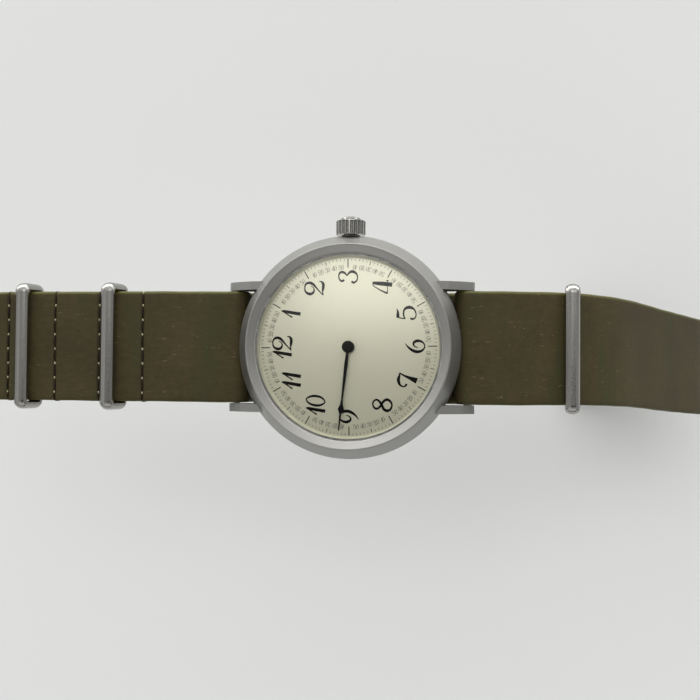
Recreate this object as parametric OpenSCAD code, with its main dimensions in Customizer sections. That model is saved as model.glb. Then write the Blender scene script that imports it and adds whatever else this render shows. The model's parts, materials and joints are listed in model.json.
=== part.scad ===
// Single-hand wristwatch on a one-piece leather strap with three metal rings.
// Millimetres. The dial faces +Z, the crown points to +Y and 6 o'clock lies at +X.
// Z = 0 is the underside of the strap below the case, where the watch lies on the wrist.

/* [Case] */
// Widest diameter of the case
case_d = 39.3; // [36:0.1:43]
// Width of the tapered flank, from the widest line in to the bezel's top edge
flank_w = 1.75; // [1.4:0.05:1.85]
// Depth of the narrow waist under the widest line
waist_w = 1.6; // [1.5:0.05:1.7]
// Thickness of the case's wall at the waist
case_wall = 1.5; // [1.45:0.05:1.6]
// Height of the case above the dial, to the top edge of the bezel
rim_rise = 2.5; // [2.4:0.1:3]
// Length of a lug past its spring bar
lug_past = 1.15; // [1.1:0.05:1.6]
// Gap between two lugs, where the strap passes
lug_gap = 20.2; // [20.2:0.1:20.6]
// Thickness of a lug
lug_w = 1.45; // [1.3:0.05:1.8]
// Room between the case's waist and the strap
waist_gap = 0.3; // [0.25:0.05:0.5]
// Diameter of a spring bar
bar_d = 1.5; // [1.4:0.1:1.5]
// Thickness of the case back
back_t = 1.2; // [1.1:0.1:1.4]

/* [Crystal and dial] */
// Width of the case's bore that is left outside the crystal
glass_inset = 0.2; // [0.15:0.05:0.3]
// Height of the crystal's dome above its edge
crystal_dome = 1.35; // [1:0.05:1.8]
// Room round the dial in the case's bore
dial_inset = 0.2; // [0.15:0.05:0.3]
// Thickness of the dial
dial_t = 0.4; // [0.4:0.05:0.5]
// Room between the hand's tip and the flange
hand_inset = 1.25; // [0.7:0.05:2]
// Width of the hand's body
hand_w = 0.62; // [0.5:0.01:0.8]
// Diameter of the hand's hub
hub_d = 2.15; // [1.9:0.05:2.6]
// Angle that the hand shows at rest, clockwise from 12
hand_angle = 276.1; // [0:0.1:359.9]

/* [Crown] */
// Diameter of the crown
crown_d = 5.2; // [5:0.1:5.4]
// Length of the crown's fluted part
crown_len = 2.6; // [2.4:0.1:3]
// Number of flutes round the crown
crown_flutes = 22; // [18:1:26]
// Travel of the crown when it is pulled out
crown_travel = 0.8; // [0.6:0.05:0.8]

/* [Strap] */
// Width of the strap
strap_w = 20; // [19:0.1:20]
// Thickness of the main length
strap_t = 1.6; // [1.5:0.05:1.6]
// Thickness of the short length under the case
under_t = 1.3; // [1.2:0.05:1.4]
// Radius of the strap's curve beside the case, on its middle line
wrist_r = 35.2; // [34:0.2:37]
// Slope of the strap past that curve, in degrees
drop_angle = 55; // [52:0.5:56]
// Length of the tail that curls under the wrist
curl_len = 62; // [50:1:66]
// Number of holes in the tail
hole_count = 6; // [4:1:7]
// Distance between two holes
hole_pitch = 6; // [5:0.5:7]
// Diameter of a hole
hole_d = 2; // [1.6:0.1:2.4]

/* [Rings and buckle] */
// Width of a ring's bar
ring_w = 2.6; // [2.4:0.1:2.6]
// Thickness of a ring's bar
ring_t = 1.4; // [1.2:0.05:1.4]
// Distance between the middles of a ring's two long bars
ring_rise = 4.8; // [4.7:0.05:5]
// Distance from the watch centre to the near ring's top bar
near_ring_x = 43.85; // [43.6:0.05:44.2]
// Distance from the watch centre to the far ring's top bar
far_ring_x = 60.3; // [60:0.1:60.8]
// Distance from the watch centre to the end ring's lower bar
end_ring_x = 41.6; // [41.2:0.1:42]
// Distance from the watch centre to the buckle's bar
buckle_x = 75; // [74.5:0.5:80]
// Outside width of the buckle's frame
buckle_w = 26; // [25.4:0.2:28]
// Length of the buckle's frame past its bar
buckle_len = 12.5; // [11.5:0.5:16]
// Diameter of the buckle's wire
buckle_wire = 2.2; // [2:0.1:2.4]

/* [Movement] */
// Width of the ring that holds the movement in the case
holder_w = 2.4; // [2.3:0.1:2.5]
// Height of the movement, from bridge to dial
movement_h = 4.2; // [4.2:0.05:4.4]
// Thickness of the main plate
plate_t = 1.9; // [1.9:0.05:2]
// Thickness of the bridges
bridge_t = 0.8; // [0.7:0.05:0.8]
// Depth of the step from the barrel's teeth to its drum
drum_inset = 0.34; // [0.3:0.02:0.5]
// Diameter of the winding stem
stem_d = 1.2; // [1:0.05:1.2]
// Diameter of a wheel's arbor
arbor_d = 0.56; // [0.5:0.02:0.6]
// Diameter of a wheel's pivot
pivot_d = 0.3; // [0.24:0.02:0.32]

/* [Hidden] */
$fn = 96;

// Clearances
cut = 0.02;
leaf_gap = 0.15;
run_gap = 0.04;
side_gap = 0.1;
wrap_gap = 0.05;

// Heights, from the strap up to the crystal
main_z = under_t + leaf_gap;
back_z = main_z + strap_t + 0.3;
case_z = back_z + 0.6;
move_z = back_z + back_t + 0.35;
bridge_z = move_z + 0.4;
bridge_top = bridge_z + bridge_t;
plate_top = move_z + movement_h;
plate_z = plate_top - plate_t;
pocket_z = plate_top - 0.75;
dial_top = plate_top + dial_t;
ledge_z = dial_top + 0.85;
glass_z = ledge_z + 0.4;
rim_z = dial_top + rim_rise;
seam_z = rim_z - 0.75;
wide_z = case_z + 4.5;
stem_z = plate_z;
bar_z = case_z + 1.55;

// Radii and lengths of the case
case_r = case_d / 2;
rim_r = case_r - flank_w;
waist_r = case_r - waist_w;
bore_r = waist_r - case_wall;
glass_r = bore_r - glass_inset;
dial_r = bore_r - dial_inset;
flange_in_r = dial_r - 0.35;
plate_r = bore_r - holder_w;
bar_x = waist_r + waist_gap + strap_t + wrap_gap + bar_d / 2;
lug_reach = bar_x + lug_past;
tip_d = 0.8;
tube_r = 1.2;
crown_y = case_r + 0.2;
crown_r = crown_d / 2;
over_bar_z = bar_z + bar_d / 2 + wrap_gap + strap_t / 2;

function polar(r, a) = [r * cos(a), r * sin(a)];
function heading(from, to) = atan2(to[1] - from[1], to[0] - from[0]);
function flank_r(z) = case_r - (case_r - rim_r) * (z - wide_z) / (rim_z - wide_z);

module at(p, z = 0) {
    translate([p[0], p[1], z]) children();
}

module ring(outer, inner, z0, z1) {
    rotate_extrude()
        polygon([[inner, z0], [outer, z0], [outer, z1], [inner, z1]]);
}

// A bore along Y, from y0 to y1, at the stem's height
module stem_bore(r, y0, y1) {
    translate([0, y0, stem_z])
        rotate([-90, 0, 0])
            cylinder(r = r, h = y1 - y0);
}

// Case

module case_middle() {
    color("silver")
        difference() {
            union() {
                case_ring();
                for (side = [-1, 1], end = [-1, 1])
                    lug(side, end);
            }
            translate([0, 0, case_z - 1])
                cylinder(r = bore_r, h = ledge_z - case_z + 1);
            translate([0, 0, ledge_z - cut])
                cylinder(r = flange_in_r, h = 2);
            stem_bore(tube_r, bore_r - 1, case_r + 1);
            for (end = [-1, 1])
                translate([end * bar_x, -lug_gap, bar_z])
                    rotate([-90, 0, 0])
                        cylinder(d = tip_d + 2 * run_gap, h = 2 * lug_gap);
        }
}

// The turned body: waist below, widest line, tapered flank and the crystal's ledge
module case_ring() {
    rotate_extrude($fn = 180)
        polygon([
            [bore_r - 1, case_z], [waist_r - 0.9, case_z], [waist_r - 0.2, case_z + 0.5],
            [waist_r, case_z + 1.2], [waist_r + 0.05, wide_z - 2.1], [waist_r + 0.45, wide_z - 1.45],
            [case_r - 0.14, wide_z - 0.3], [case_r, wide_z], [case_r - 0.12, wide_z + 0.45],
            [flank_r(seam_z), seam_z], [glass_r + 0.5, seam_z], [glass_r + 0.5, glass_z],
            [flange_in_r - 1, glass_z]
        ]);
}

// One straight bar lug, with its top sloping down to the tip
module lug(side, end) {
    top = wide_z + 1.6;
    root = waist_r - 4;
    translate([0, side * (lug_gap / 2 + lug_w / 2) + lug_w / 2, 0])
        rotate([90, 0, 0])
            linear_extrude(lug_w)
                polygon([
                    [end * root, case_z + 0.55], [end * (lug_reach - 1.1), case_z + 0.55],
                    [end * (lug_reach - 0.35), case_z + 0.85], [end * lug_reach, case_z + 1.5],
                    [end * lug_reach, case_z + 2.2], [end * (lug_reach - 0.3), case_z + 2.75],
                    [end * (lug_reach - 2.4), wide_z - 0.2], [end * (waist_r - 0.6), wide_z + 0.9],
                    [end * root, top]
                ]);
}

module crown_tube() {
    color("silver")
        difference() {
            stem_bore(tube_r, bore_r + 0.1, crown_y + 1.7);
            stem_bore(stem_d / 2 + run_gap, bore_r - 1, crown_y + 3);
        }
}

module bezel() {
    lip_r = glass_r + 0.1;
    color("silver")
        rotate_extrude($fn = 180)
            polygon([
                [glass_r + 0.5, seam_z], [flank_r(seam_z), seam_z], [rim_r + 0.06, rim_z - 0.16],
                [rim_r - 0.03, rim_z - 0.04], [rim_r - 0.16, rim_z], [rim_r - 0.26, rim_z - 0.02],
                [lip_r + 0.06, rim_z - 0.68], [lip_r, rim_z - 0.74], [lip_r, glass_z + 0.35],
                [glass_r + 0.5, glass_z + 0.35]
            ]);
}

// A double-domed crystal on the case's ledge
module crystal() {
    edge_z = glass_z + 0.75;
    outer = dome_radius(glass_r - 0.1, crystal_dome);
    inner = dome_radius(glass_r - 0.7, crystal_dome * 0.75);
    color("white", 0.3)
        rotate_extrude($fn = 180)
            polygon(concat(
                [[0, glass_z + crystal_dome * 0.75]],
                [for (k = [1:24]) dome_point(inner, glass_r - 0.7, k / 24, glass_z)],
                [[glass_r, glass_z], [glass_r, edge_z - 0.1]],
                [for (k = [24:-1:1]) dome_point(outer, glass_r - 0.1, k / 24, edge_z)],
                [[0, edge_z + crystal_dome]]
            ));
}

function dome_radius(r, rise) = (r * r + rise * rise) / (2 * rise);
function dome_point(sphere_r, r, share, z) =
    [r * share, z + sqrt(sphere_r ^ 2 - (r * share) ^ 2) - sqrt(sphere_r ^ 2 - r ^ 2)];

module crystal_gasket() {
    color("white")
        ring(glass_r + 0.5, glass_r + cut, glass_z, glass_z + 0.35);
}

module flange_ring() {
    color("silver")
        rotate_extrude($fn = 180)
            polygon([
                [flange_in_r - 0.25, dial_top], [bore_r - cut, dial_top], [bore_r - cut, ledge_z - cut],
                [flange_in_r, ledge_z - cut]
            ]);
}

module dial() {
    color("ivory")
        ring(dial_r, pipe_hole_r, plate_top, dial_top);
}

module case_back() {
    color("silver")
        difference() {
            rotate_extrude($fn = 180)
                polygon([
                    [0, back_z], [bore_r - 1.4, back_z], [waist_r - 1.2, back_z + 0.35],
                    [waist_r - 1, case_z], [bore_r - cut, case_z], [bore_r - cut, move_z + 0.5],
                    [bore_r - 1.1, move_z + 0.5], [bore_r - 1.1, back_z + back_t], [0, back_z + back_t]
                ]);
            for (k = [0:5])
                rotate(60 * k)
                    translate([bore_r - 2.4, -0.9, back_z - cut])
                        cube([1.5, 1.8, 0.4]);
            ring(bore_r + 1, bore_r - 0.45, move_z - 0.1, move_z + 0.3);
        }
}

module case_back_gasket() {
    color("black")
        ring(bore_r - cut, bore_r - 0.45, move_z - 0.1, move_z + 0.3);
}

module movement_ring() {
    color("goldenrod")
        difference() {
            ring(bore_r - cut, plate_r + cut, move_z + 0.9, plate_top);
            stem_bore(stem_d / 2 + 0.3, plate_r - 1, bore_r + 1);
        }
}

// Spring bars: a tube between the lugs, with a sprung tip in each end

module spring_bar(end) {
    length = lug_gap - 0.1;
    color("silver")
        translate([end * bar_x, -length / 2, bar_z])
            rotate([-90, 0, 0])
                difference() {
                    cylinder(d = bar_d, h = length);
                    translate([0, 0, -cut])
                        cylinder(d = tip_d + 2 * run_gap, h = 3.5);
                    translate([0, 0, length - 3.5 + cut])
                        cylinder(d = tip_d + 2 * run_gap, h = 3.5);
                }
}

module spring_bar_left() {
    spring_bar(-1);
}

module spring_bar_right() {
    spring_bar(1);
}

// A tip lies mostly in the tube and reaches through the lug's hole
module bar_tip(end, side) {
    outer = lug_gap / 2 + lug_w - 0.15;
    color("silver")
        translate([end * bar_x, side * (outer - 2.7) - (side < 0 ? 2.7 : 0), bar_z])
            rotate([-90, 0, 0])
                cylinder(d = tip_d, h = 2.7);
}

module bar_tip_left_upper() {
    bar_tip(-1, 1);
}

module bar_tip_left_lower() {
    bar_tip(-1, -1);
}

module bar_tip_right_upper() {
    bar_tip(1, 1);
}

module bar_tip_right_lower() {
    bar_tip(1, -1);
}

// Crown and winding stem

module crown() {
    tip_y = crown_y + crown_len;
    color("silver")
        difference() {
            translate([0, crown_y, stem_z])
                rotate([-90, 0, 0])
                    rotate_extrude()
                        polygon([
                            [0, 0], [crown_r - 0.15, 0], [crown_r, 0.15], [crown_r, crown_len - 0.15],
                            [crown_r - 0.15, crown_len], [crown_r * 0.7, crown_len + 0.12],
                            [crown_r * 0.66, crown_len + 0.4], [crown_r * 0.45, crown_len + 0.66],
                            [crown_r * 0.22, crown_len + 0.76], [0, crown_len + 0.8]
                        ]);
            for (k = [0:crown_flutes - 1])
                translate([0, crown_y - cut, stem_z])
                    rotate([-90, 360 * k / crown_flutes, 0])
                        translate([crown_r + 0.1, 0, 0])
                            cylinder(r = 0.27, h = crown_len - 0.1, $fn = 24);
            stem_bore(tube_r + gasket_w, crown_y - 1, crown_y + 2);
            stem_bore(stem_d / 2, crown_y, tip_y);
        }
}

gasket_w = 0.45;

module crown_gasket() {
    color("black")
        difference() {
            stem_bore(tube_r + gasket_w, crown_y + 0.3, crown_y + 0.8);
            stem_bore(tube_r + 0.03, crown_y - 1, crown_y + 3);
        }
}

module winding_stem() {
    color("silver")
        stem_bore(stem_d / 2, share(5.6), crown_y + crown_len);
}

// Strap. Each length is a ribbon along a line of corners [x, z, radius]

ply_gap = 0.06;
chord_error = 0.01;
end_gap = 0.3;
pocket_r = 1.45;
ring_drop = 1.75;
ring_lift = 1.3;
dive_r = bar_d / 2 + wrap_gap + strap_t / 2;
dive_x = bar_x - dive_r;
arc_x = bar_x + 0.2;
arc_z = over_bar_z - wrist_r;
slope_x = 46;
buckle_drop = 1.89;
ring_shift = sqrt(ring_rise ^ 2 - (strap_t + ring_lift + ring_drop) ^ 2);
near_bar_x = ring_shift - near_ring_x;
far_bar_x = ring_shift - far_ring_x;
curl_r = 24;
straight_len = 30;
curl_turn = 95;
buckle_bar_r = 0.8;
buckle_fold_r = buckle_bar_r + wrap_gap + strap_t / 2;
buckle_slope = buckle_drop / (buckle_x + buckle_fold_r - slope_x);

function unit(v) = v / norm(v);
function xz(p) = [p[0], p[1]];
function corner(p, r) = [p[0], p[1], r];

// Points of the arc that rounds the corner c[i], between its neighbours
function arc_at(c, i) =
    let (
        b = xz(c[i]),
        r = c[i][2],
        u = unit(xz(c[i - 1]) - b),
        v = unit(xz(c[i + 1]) - b),
        turn = 180 - acos(u * v),
        side = cross(-u, v) > 0 ? 1 : -1,
        start = b + u * r * tan(turn / 2),
        centre = start + side * r * [u[1], -u[0]],
        from = heading(centre, start),
        steps = ceil(turn / min(9, 2 * acos(1 - chord_error / r)))
    )
    [for (k = [0:steps]) centre + polar(r, from + side * turn * k / steps)];

// Points along straight runs joined by arcs
function filleted(c) =
    thinned(concat(
        [xz(c[0])],
        [for (i = [1:len(c) - 2]) each arc_at(c, i)],
        [xz(c[len(c) - 1])]
    ));

function thinned(p) =
    [for (i = [0:len(p) - 1]) if (i == 0 || norm(p[i] - p[max(0, i - 1)]) > 0.01) p[i]];

function normal_at(p, i) =
    let (t = unit(p[min(i + 1, len(p) - 1)] - p[max(i - 1, 0)]))
    [-t[1], t[0]];

// A strip of leather of thickness t and width w along the line p in the XZ plane
module ribbon(p, t, w) {
    last = len(p) - 1;
    rotate([90, 0, 0])
        linear_extrude(w, center = true)
            polygon(concat(
                [for (i = [0:last]) p[i] + normal_at(p, i) * t / 2],
                [for (i = [last:-1:0]) p[i] - normal_at(p, i) * t / 2]
            ));
}

// Place and heading at the distance s along the line p
function walk(p, s, i = 0) =
    let (d = norm(p[i + 1] - p[i]))
    s <= d || i == len(p) - 2
        ? [p[i] + (p[i + 1] - p[i]) * s / d, heading(p[i], p[i + 1])]
        : walk(p, s - d, i + 1);

function reversed(p) = [for (i = [len(p) - 1:-1:0]) p[i]];

// Height of the main length's middle line on the buckle side
function left_z(x) = over_bar_z + buckle_slope * min(0, x + slope_x);

// Corners of a pocket sewn round a ring's lower bar at x, under the main length
function pocket(x, t, dir) =
    let (
        deep = ring_drop + pocket_r - ply_gap,
        wide = 2.2 + t / 2,
        low = 0.65 + t / 2
    )
    [for (p = [[-wide, 0], [-low, -deep], [low, -deep], [wide, 0]])
        [x + dir * p[0], left_z(x + dir * p[0]) - strap_t / 2 - ply_gap - t / 2 + p[1], 1]];

buckle_z = over_bar_z - buckle_drop - buckle_fold_r;
fold_z = buckle_z - buckle_fold_r;
main_mid_z = main_z + strap_t / 2;
ply_z = strap_t + ply_gap;
tail_dir = polar(1, -drop_angle);
bend_at = [arc_x + wrist_r * tan(drop_angle / 2), over_bar_z];
curl_at = bend_at + tail_dir *
    (wrist_r * tan(drop_angle / 2) + straight_len + curl_r * tan(curl_turn / 2));
tail_end = curl_at + polar(
    curl_r * tan(curl_turn / 2) + curl_len - curl_r * curl_turn * PI / 180,
    -drop_angle - curl_turn
);

main_line = filleted(concat(
    [[far_bar_x + 6.2, left_z(far_bar_x + 6.2) - ply_z, 0]],
    pocket(far_bar_x, strap_t, -1),
    [
        [-buckle_x + 5, left_z(-buckle_x + 5) - ply_z, 2],
        [-buckle_x + 2.6, fold_z, 2],
        [-buckle_x - buckle_fold_r, fold_z, buckle_fold_r],
        [-buckle_x - buckle_fold_r, buckle_z + buckle_fold_r, buckle_fold_r],
        [-slope_x, over_bar_z, 40],
        [-dive_x, over_bar_z, dive_r],
        [-dive_x, main_mid_z, dive_r],
        [dive_x, main_mid_z, dive_r],
        [dive_x, over_bar_z, dive_r],
        corner(bend_at, wrist_r),
        corner(curl_at, curl_r),
        corner(tail_end, 0)
    ]
));

module strap_main() {
    tail = reversed(main_line);
    color("darkolivegreen")
        difference() {
            ribbon(main_line, strap_t, strap_w);
            at_tail(walk(tail, 0))
                tail_corners();
            for (k = [0:hole_count - 1])
                at_tail(walk(tail, 24 + k * hole_pitch))
                    cylinder(d = hole_d, h = 4 * strap_t, center = true, $fn = 48);
            translate([-buckle_x - 4, -tongue_slot / 2, fold_z - strap_t])
                cube([8, tongue_slot, 4 * buckle_fold_r]);
        }
}

// Puts its children at a place on the tail, with X towards the watch
module at_tail(place) {
    translate([place[0][0], 0, place[0][1]])
        rotate([0, -place[1], 0])
            children();
}

// What is cut away to round the end of the tail
module tail_corners() {
    difference() {
        translate([-1, -strap_w, -strap_t])
            cube([strap_w / 2 + 1, 2 * strap_w, 2 * strap_t]);
        translate([strap_w / 2, 0, -2 * strap_t])
            cylinder(r = strap_w / 2, h = 4 * strap_t);
    }
}

tongue_slot = 3.2;

// The short length: sewn under the main one, round the near ring and the end ring
under_mid_z = under_t / 2;
end_bar_rho = wrist_r - strap_t / 2 - end_gap - under_t - pocket_r;
end_angle = asin((end_ring_x - 1.74 - arc_x) / end_bar_rho);
end_normal = [sin(end_angle), cos(end_angle)];
end_along = [cos(end_angle), -sin(end_angle)];
end_bar = [arc_x, arc_z] + end_bar_rho * end_normal;
end_fold = pocket_r + under_t / 2;
end_top_angle = 8.2;
end_top = [arc_x, arc_z] + (wrist_r + strap_t / 2 + ring_lift) *
    [sin(end_angle - end_top_angle), cos(end_angle - end_top_angle)];
over_end = end_bar + end_normal * end_fold;
below_end = end_bar - end_normal * end_fold;
under_bend_x = below_end[0] - (under_mid_z - below_end[1]) / tan(end_angle);
near_ply_z = over_bar_z - strap_t / 2 - ply_gap - under_t / 2;
return_gap = under_t + ply_gap;

under_line = filleted(concat(
    [[near_bar_x - 3.9, near_ply_z, 0]],
    pocket(near_bar_x, under_t, 1),
    [
        [near_bar_x + 6.6, near_ply_z, 3],
        [-bar_x - 1.5, under_mid_z, 8],
        [under_bend_x, under_mid_z, 10],
        corner(below_end + end_along * end_fold, end_fold),
        corner(over_end + end_along * end_fold, end_fold),
        corner(over_end - end_along, 1.2),
        corner(below_end - end_along * 4.5 + end_normal * return_gap, 2),
        [under_bend_x + return_gap * tan(end_angle / 2), under_mid_z + return_gap, 10 + return_gap],
        [under_bend_x - 8, under_mid_z + return_gap, 0]
    ]
));

module strap_under() {
    color("darkolivegreen")
        ribbon(under_line, under_t, strap_w);
}

// Rows of seven short stitches across the strap, on both sides of each ring's pocket
stitch_rows = [near_bar_x - 3, near_bar_x + 5.05, far_bar_x - 4.2, far_bar_x + 4.95];
stitch_pitch = 2.57;

module stitching() {
    color("darkkhaki")
        for (x = stitch_rows, k = [-3:3])
            translate([x, k * stitch_pitch, left_z(x) + strap_t / 2 + cut])
                rotate([0, x < -slope_x ? -atan(buckle_slope) : 0, 0])
                    translate([-0.25, -0.7, 0])
                        cube([0.5, 1.4, 0.15]);
}

// Rings

// One loop of half-round bar from the lower bar's middle to the upper bar's middle
module strap_ring(lower, upper) {
    rise = norm(upper - lower);
    half = strap_w / 2 + side_gap + ring_t / 2;
    bend = ring_t / 2 + 0.2;
    color("silver")
        translate([lower[0], 0, lower[1]])
            rotate([0, 90 - heading(lower, upper), 0])
                for (turn = [0, 180])
                    translate([0, 0, rise / 2])
                        rotate([turn, 0, 0]) {
                            translate([0, -half + bend, rise / 2])
                                rotate([-90, 0, 0])
                                    linear_extrude(2 * (half - bend))
                                        rotate(-90)
                                            bar_section(0);
                            translate([0, half, -rise / 2 + bend])
                                linear_extrude(rise - 2 * bend)
                                    rotate(90)
                                        bar_section(0);
                            for (end = [-1, 1])
                                translate([0, end * (half - bend), rise / 2 - bend])
                                    rotate([0, -90, 0])
                                        rotate(end > 0 ? 0 : -90)
                                            rotate_extrude(angle = 90, $fn = 48)
                                                bar_section(bend);
                        }
}

// Section of a ring's bar: flat inside, rounded outside, at the distance r from the bend's middle
module bar_section(r) {
    w = ring_w / 2;
    t = ring_t / 2;
    translate([r, 0])
        polygon([
            [-t, -w + 0.25], [-t + 0.25, -w], [t - 0.75, -w], [t - 0.36, -w + 0.2],
            [t - 0.1, -w + 0.62], [t, -w + 1.1], [t, w - 1.1], [t - 0.1, w - 0.62],
            [t - 0.36, w - 0.2], [t - 0.75, w], [-t + 0.25, w], [-t, w - 0.25]
        ]);
}

module keeper_near() {
    strap_ring(
        [near_bar_x, over_bar_z - strap_t / 2 - ring_drop],
        [-near_ring_x, over_bar_z + strap_t / 2 + ring_lift]
    );
}

module keeper_far() {
    strap_ring(
        [far_bar_x, left_z(far_bar_x) - strap_t / 2 - ring_drop],
        [-far_ring_x, left_z(-far_ring_x) + strap_t / 2 + ring_lift]
    );
}

module end_ring() {
    strap_ring(end_bar, end_top);
}

// Buckle

eye_r = 1.7;
frame_x = -buckle_x - buckle_len;
frame_y = buckle_w / 2 - buckle_wire / 2;
tongue_r = 0.8;

// A round bar between two points
module rod(from, to, r) {
    d = to - from;
    translate(from)
        rotate([0, acos(d[2] / norm(d)), atan2(d[1], d[0])])
            cylinder(r = r, h = norm(d), $fn = 48);
}

module buckle_bar() {
    color("silver")
        rod([-buckle_x, -frame_y - 0.9, buckle_z], [-buckle_x, frame_y + 0.9, buckle_z], buckle_bar_r);
}

module buckle_frame() {
    r = buckle_wire / 2;
    bend = 3;
    color("silver")
        difference() {
            union() {
                for (side = [-1, 1]) {
                    rod([-buckle_x, side * frame_y, buckle_z],
                        [frame_x + bend, side * frame_y, buckle_z], r);
                    translate([-buckle_x, side * frame_y, buckle_z])
                        sphere(r = r + 0.3, $fn = 48);
                    translate([frame_x + bend, side * (frame_y - bend), buckle_z])
                        rotate(side > 0 ? 90 : 180)
                            rotate_extrude(angle = 90, $fn = 48)
                                translate([bend, 0])
                                    circle(r = r, $fn = 32);
                }
                rod([frame_x, bend - frame_y, buckle_z], [frame_x, frame_y - bend, buckle_z], r);
            }
            translate([-buckle_x, -buckle_w, buckle_z])
                rotate([-90, 0, 0])
                    cylinder(r = buckle_bar_r, h = 2 * buckle_w, $fn = 48);
        }
}

module buckle_tongue() {
    rest_z = buckle_z + buckle_wire / 2 + tongue_r + 0.1;
    width = tongue_slot - 0.6;
    color("silver")
        difference() {
            union() {
                translate([-buckle_x, -width / 2, buckle_z])
                    rotate([-90, 0, 0])
                        cylinder(r = eye_r, h = width);
                rod([-buckle_x, 0, buckle_z + 0.3], [frame_x - 1.6, 0, rest_z + 0.1], tongue_r);
            }
            translate([-buckle_x, -width, buckle_z])
                rotate([-90, 0, 0])
                    cylinder(r = buckle_bar_r + 0.06, h = 2 * width);
        }
}

// Movement layout, seen from the dial side

// A length in the plane of a movement whose plate has a radius of 14, in this movement
function share(x) = x * plate_r / 14;

barrel_teeth = 72;
centre_pinion_teeth = 12;
centre_teeth = 80;
third_pinion_teeth = 10;
third_teeth = 75;
fourth_pinion_teeth = 10;
fourth_teeth = 80;
escape_pinion_teeth = 8;
escape_teeth = 15;
cannon_teeth = 12;
minute_teeth = 36;
minute_pinion_teeth = 12;
hour_teeth = 48;
setting_teeth = 18;
crown_wheel_teeth = 26;
ratchet_teeth = 44;
winding_teeth = 14;

barrel_mod = share(0.14);
centre_mod = share(0.105);
third_mod = share(0.09);
fourth_mod = share(0.075);
motion_gap = share(3);
winding_mod = share(0.2);

function spacing(m, a, b) = m * (a + b) / 2;

centre_at = [0, 0];
barrel_at = polar(spacing(barrel_mod, barrel_teeth, centre_pinion_teeth), 152);
third_bearing = -50;
fourth_bearing = -10;
escape_bearing = 60;
third_at = polar(spacing(centre_mod, centre_teeth, third_pinion_teeth), third_bearing);
fourth_at = third_at + polar(spacing(third_mod, third_teeth, fourth_pinion_teeth), fourth_bearing);
escape_at = fourth_at + polar(spacing(fourth_mod, fourth_teeth, escape_pinion_teeth), escape_bearing);
escape_r = share(2);
pallet_at = escape_at + share([0, 2.35]);
balance_at = pallet_at + polar(share(3.3), 100);
balance_r = share(4.4);
cock_foot_at = share([4.3, 10.2]);
minute_bearing = 70;
minute_at = polar(motion_gap, minute_bearing);
minute_mod = 2 * motion_gap / (cannon_teeth + minute_teeth);
hour_mod = 2 * motion_gap / (hour_teeth + minute_pinion_teeth);
setting_bearing = 96;
setting_at = minute_at + polar(spacing(minute_mod, minute_teeth, setting_teeth), setting_bearing);
drum_r = barrel_mod * barrel_teeth / 2 - drum_inset;
ratchet_r = winding_mod * ratchet_teeth / 2;
crown_wheel_r = winding_mod * crown_wheel_teeth / 2;
crown_wheel_at = [0, barrel_at[1] + sqrt((ratchet_r + crown_wheel_r) ^ 2 - barrel_at[0] ^ 2)];
lever_at = share([-3.4, 8.6]);
yoke_at = share([-4.6, 5.2]);
click_at = barrel_at + polar(share(6), 215);

// Levels of the train
low_z = bridge_top + 0.12;
high_z = plate_z - 0.35;
leaf_t = 0.2;
pipe_r = 0.55;
pipe_hole_r = 1.05;
hub_z = dial_top + 0.95;

// Angle of a tooth of the driven wheel that puts it in mesh with its driver
function mesh(bearing, driver_teeth, driver_phase, teeth) =
    bearing + 180 + 180 / teeth - (driver_phase - bearing) * driver_teeth / teeth;

// Tooth outline: m is the tooth size, and the first tooth points along phase
function tooth_points(teeth, m, phase) =
    let (r = m * teeth / 2, step = 360 / teeth, root = r - 1.05 * m, tip = r + 0.75 * m)
    [for (k = [0:teeth - 1]) each [
        polar(root, phase + (k - 0.27) * step), polar(tip, phase + (k - 0.12) * step),
        polar(tip, phase + (k + 0.12) * step), polar(root, phase + (k + 0.27) * step)
    ]];

// A flat wheel with spokes, cut from sheet
module spoked_wheel(teeth, m, phase, z, t, hub) {
    inner = m * teeth / 2 - 4.5 * m;
    spokes = 5;
    translate([0, 0, z])
        linear_extrude(t)
            difference() {
                polygon(tooth_points(teeth, m, phase));
                difference() {
                    circle(r = inner);
                    circle(r = hub);
                    for (k = [0:spokes - 1])
                        rotate(360 * k / spokes)
                            translate([0, -inner * 0.07])
                                square([inner + 1, inner * 0.14]);
                }
            }
}

module pinion(teeth, m, phase, z0, z1) {
    translate([0, 0, z0])
        linear_extrude(z1 - z0)
            polygon(tooth_points(teeth, m, phase));
}

// An arbor between the bridge and the plate, with a pivot at each end
module arbor(r = arbor_d / 2) {
    translate([0, 0, bridge_top + 0.05])
        cylinder(r = r, h = plate_z - bridge_top - 0.1, $fn = 32);
    translate([0, 0, bridge_top - 0.5])
        cylinder(d = pivot_d, h = plate_z - bridge_top + 1, $fn = 32);
}

// Plate and bridges

jewel_r = 0.6;
jewel_t = 0.35;
train_pivots = [third_at, fourth_at, escape_at];
plate_pivots = concat(train_pivots, [pallet_at, balance_at]);
bridge_split = share(2);

// The half of the movement on one side of the line between the two large bridges
module bridge_side(side) {
    rotate(third_bearing)
        translate([side > 0 ? bridge_split + 0.1 : bridge_split - 0.1 - 2 * plate_r, -2 * plate_r])
            square([2 * plate_r, 4 * plate_r]);
}

// The area that the balance and its cock need
module balance_area(extra) {
    at(balance_at)
        circle(r = balance_r + 0.15 + extra);
    at(cock_foot_at)
        circle(r = 1.8 + extra);
    at(cock_foot_at)
        rotate(heading(cock_foot_at, balance_at))
            translate([0, -1.5 - extra])
                square([norm(balance_at - cock_foot_at), 3 + 2 * extra]);
}

module bridge_outline(side) {
    difference() {
        intersection() {
            circle(r = plate_r - 0.2);
            bridge_side(side);
        }
        balance_area(0.2);
    }
}

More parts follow.
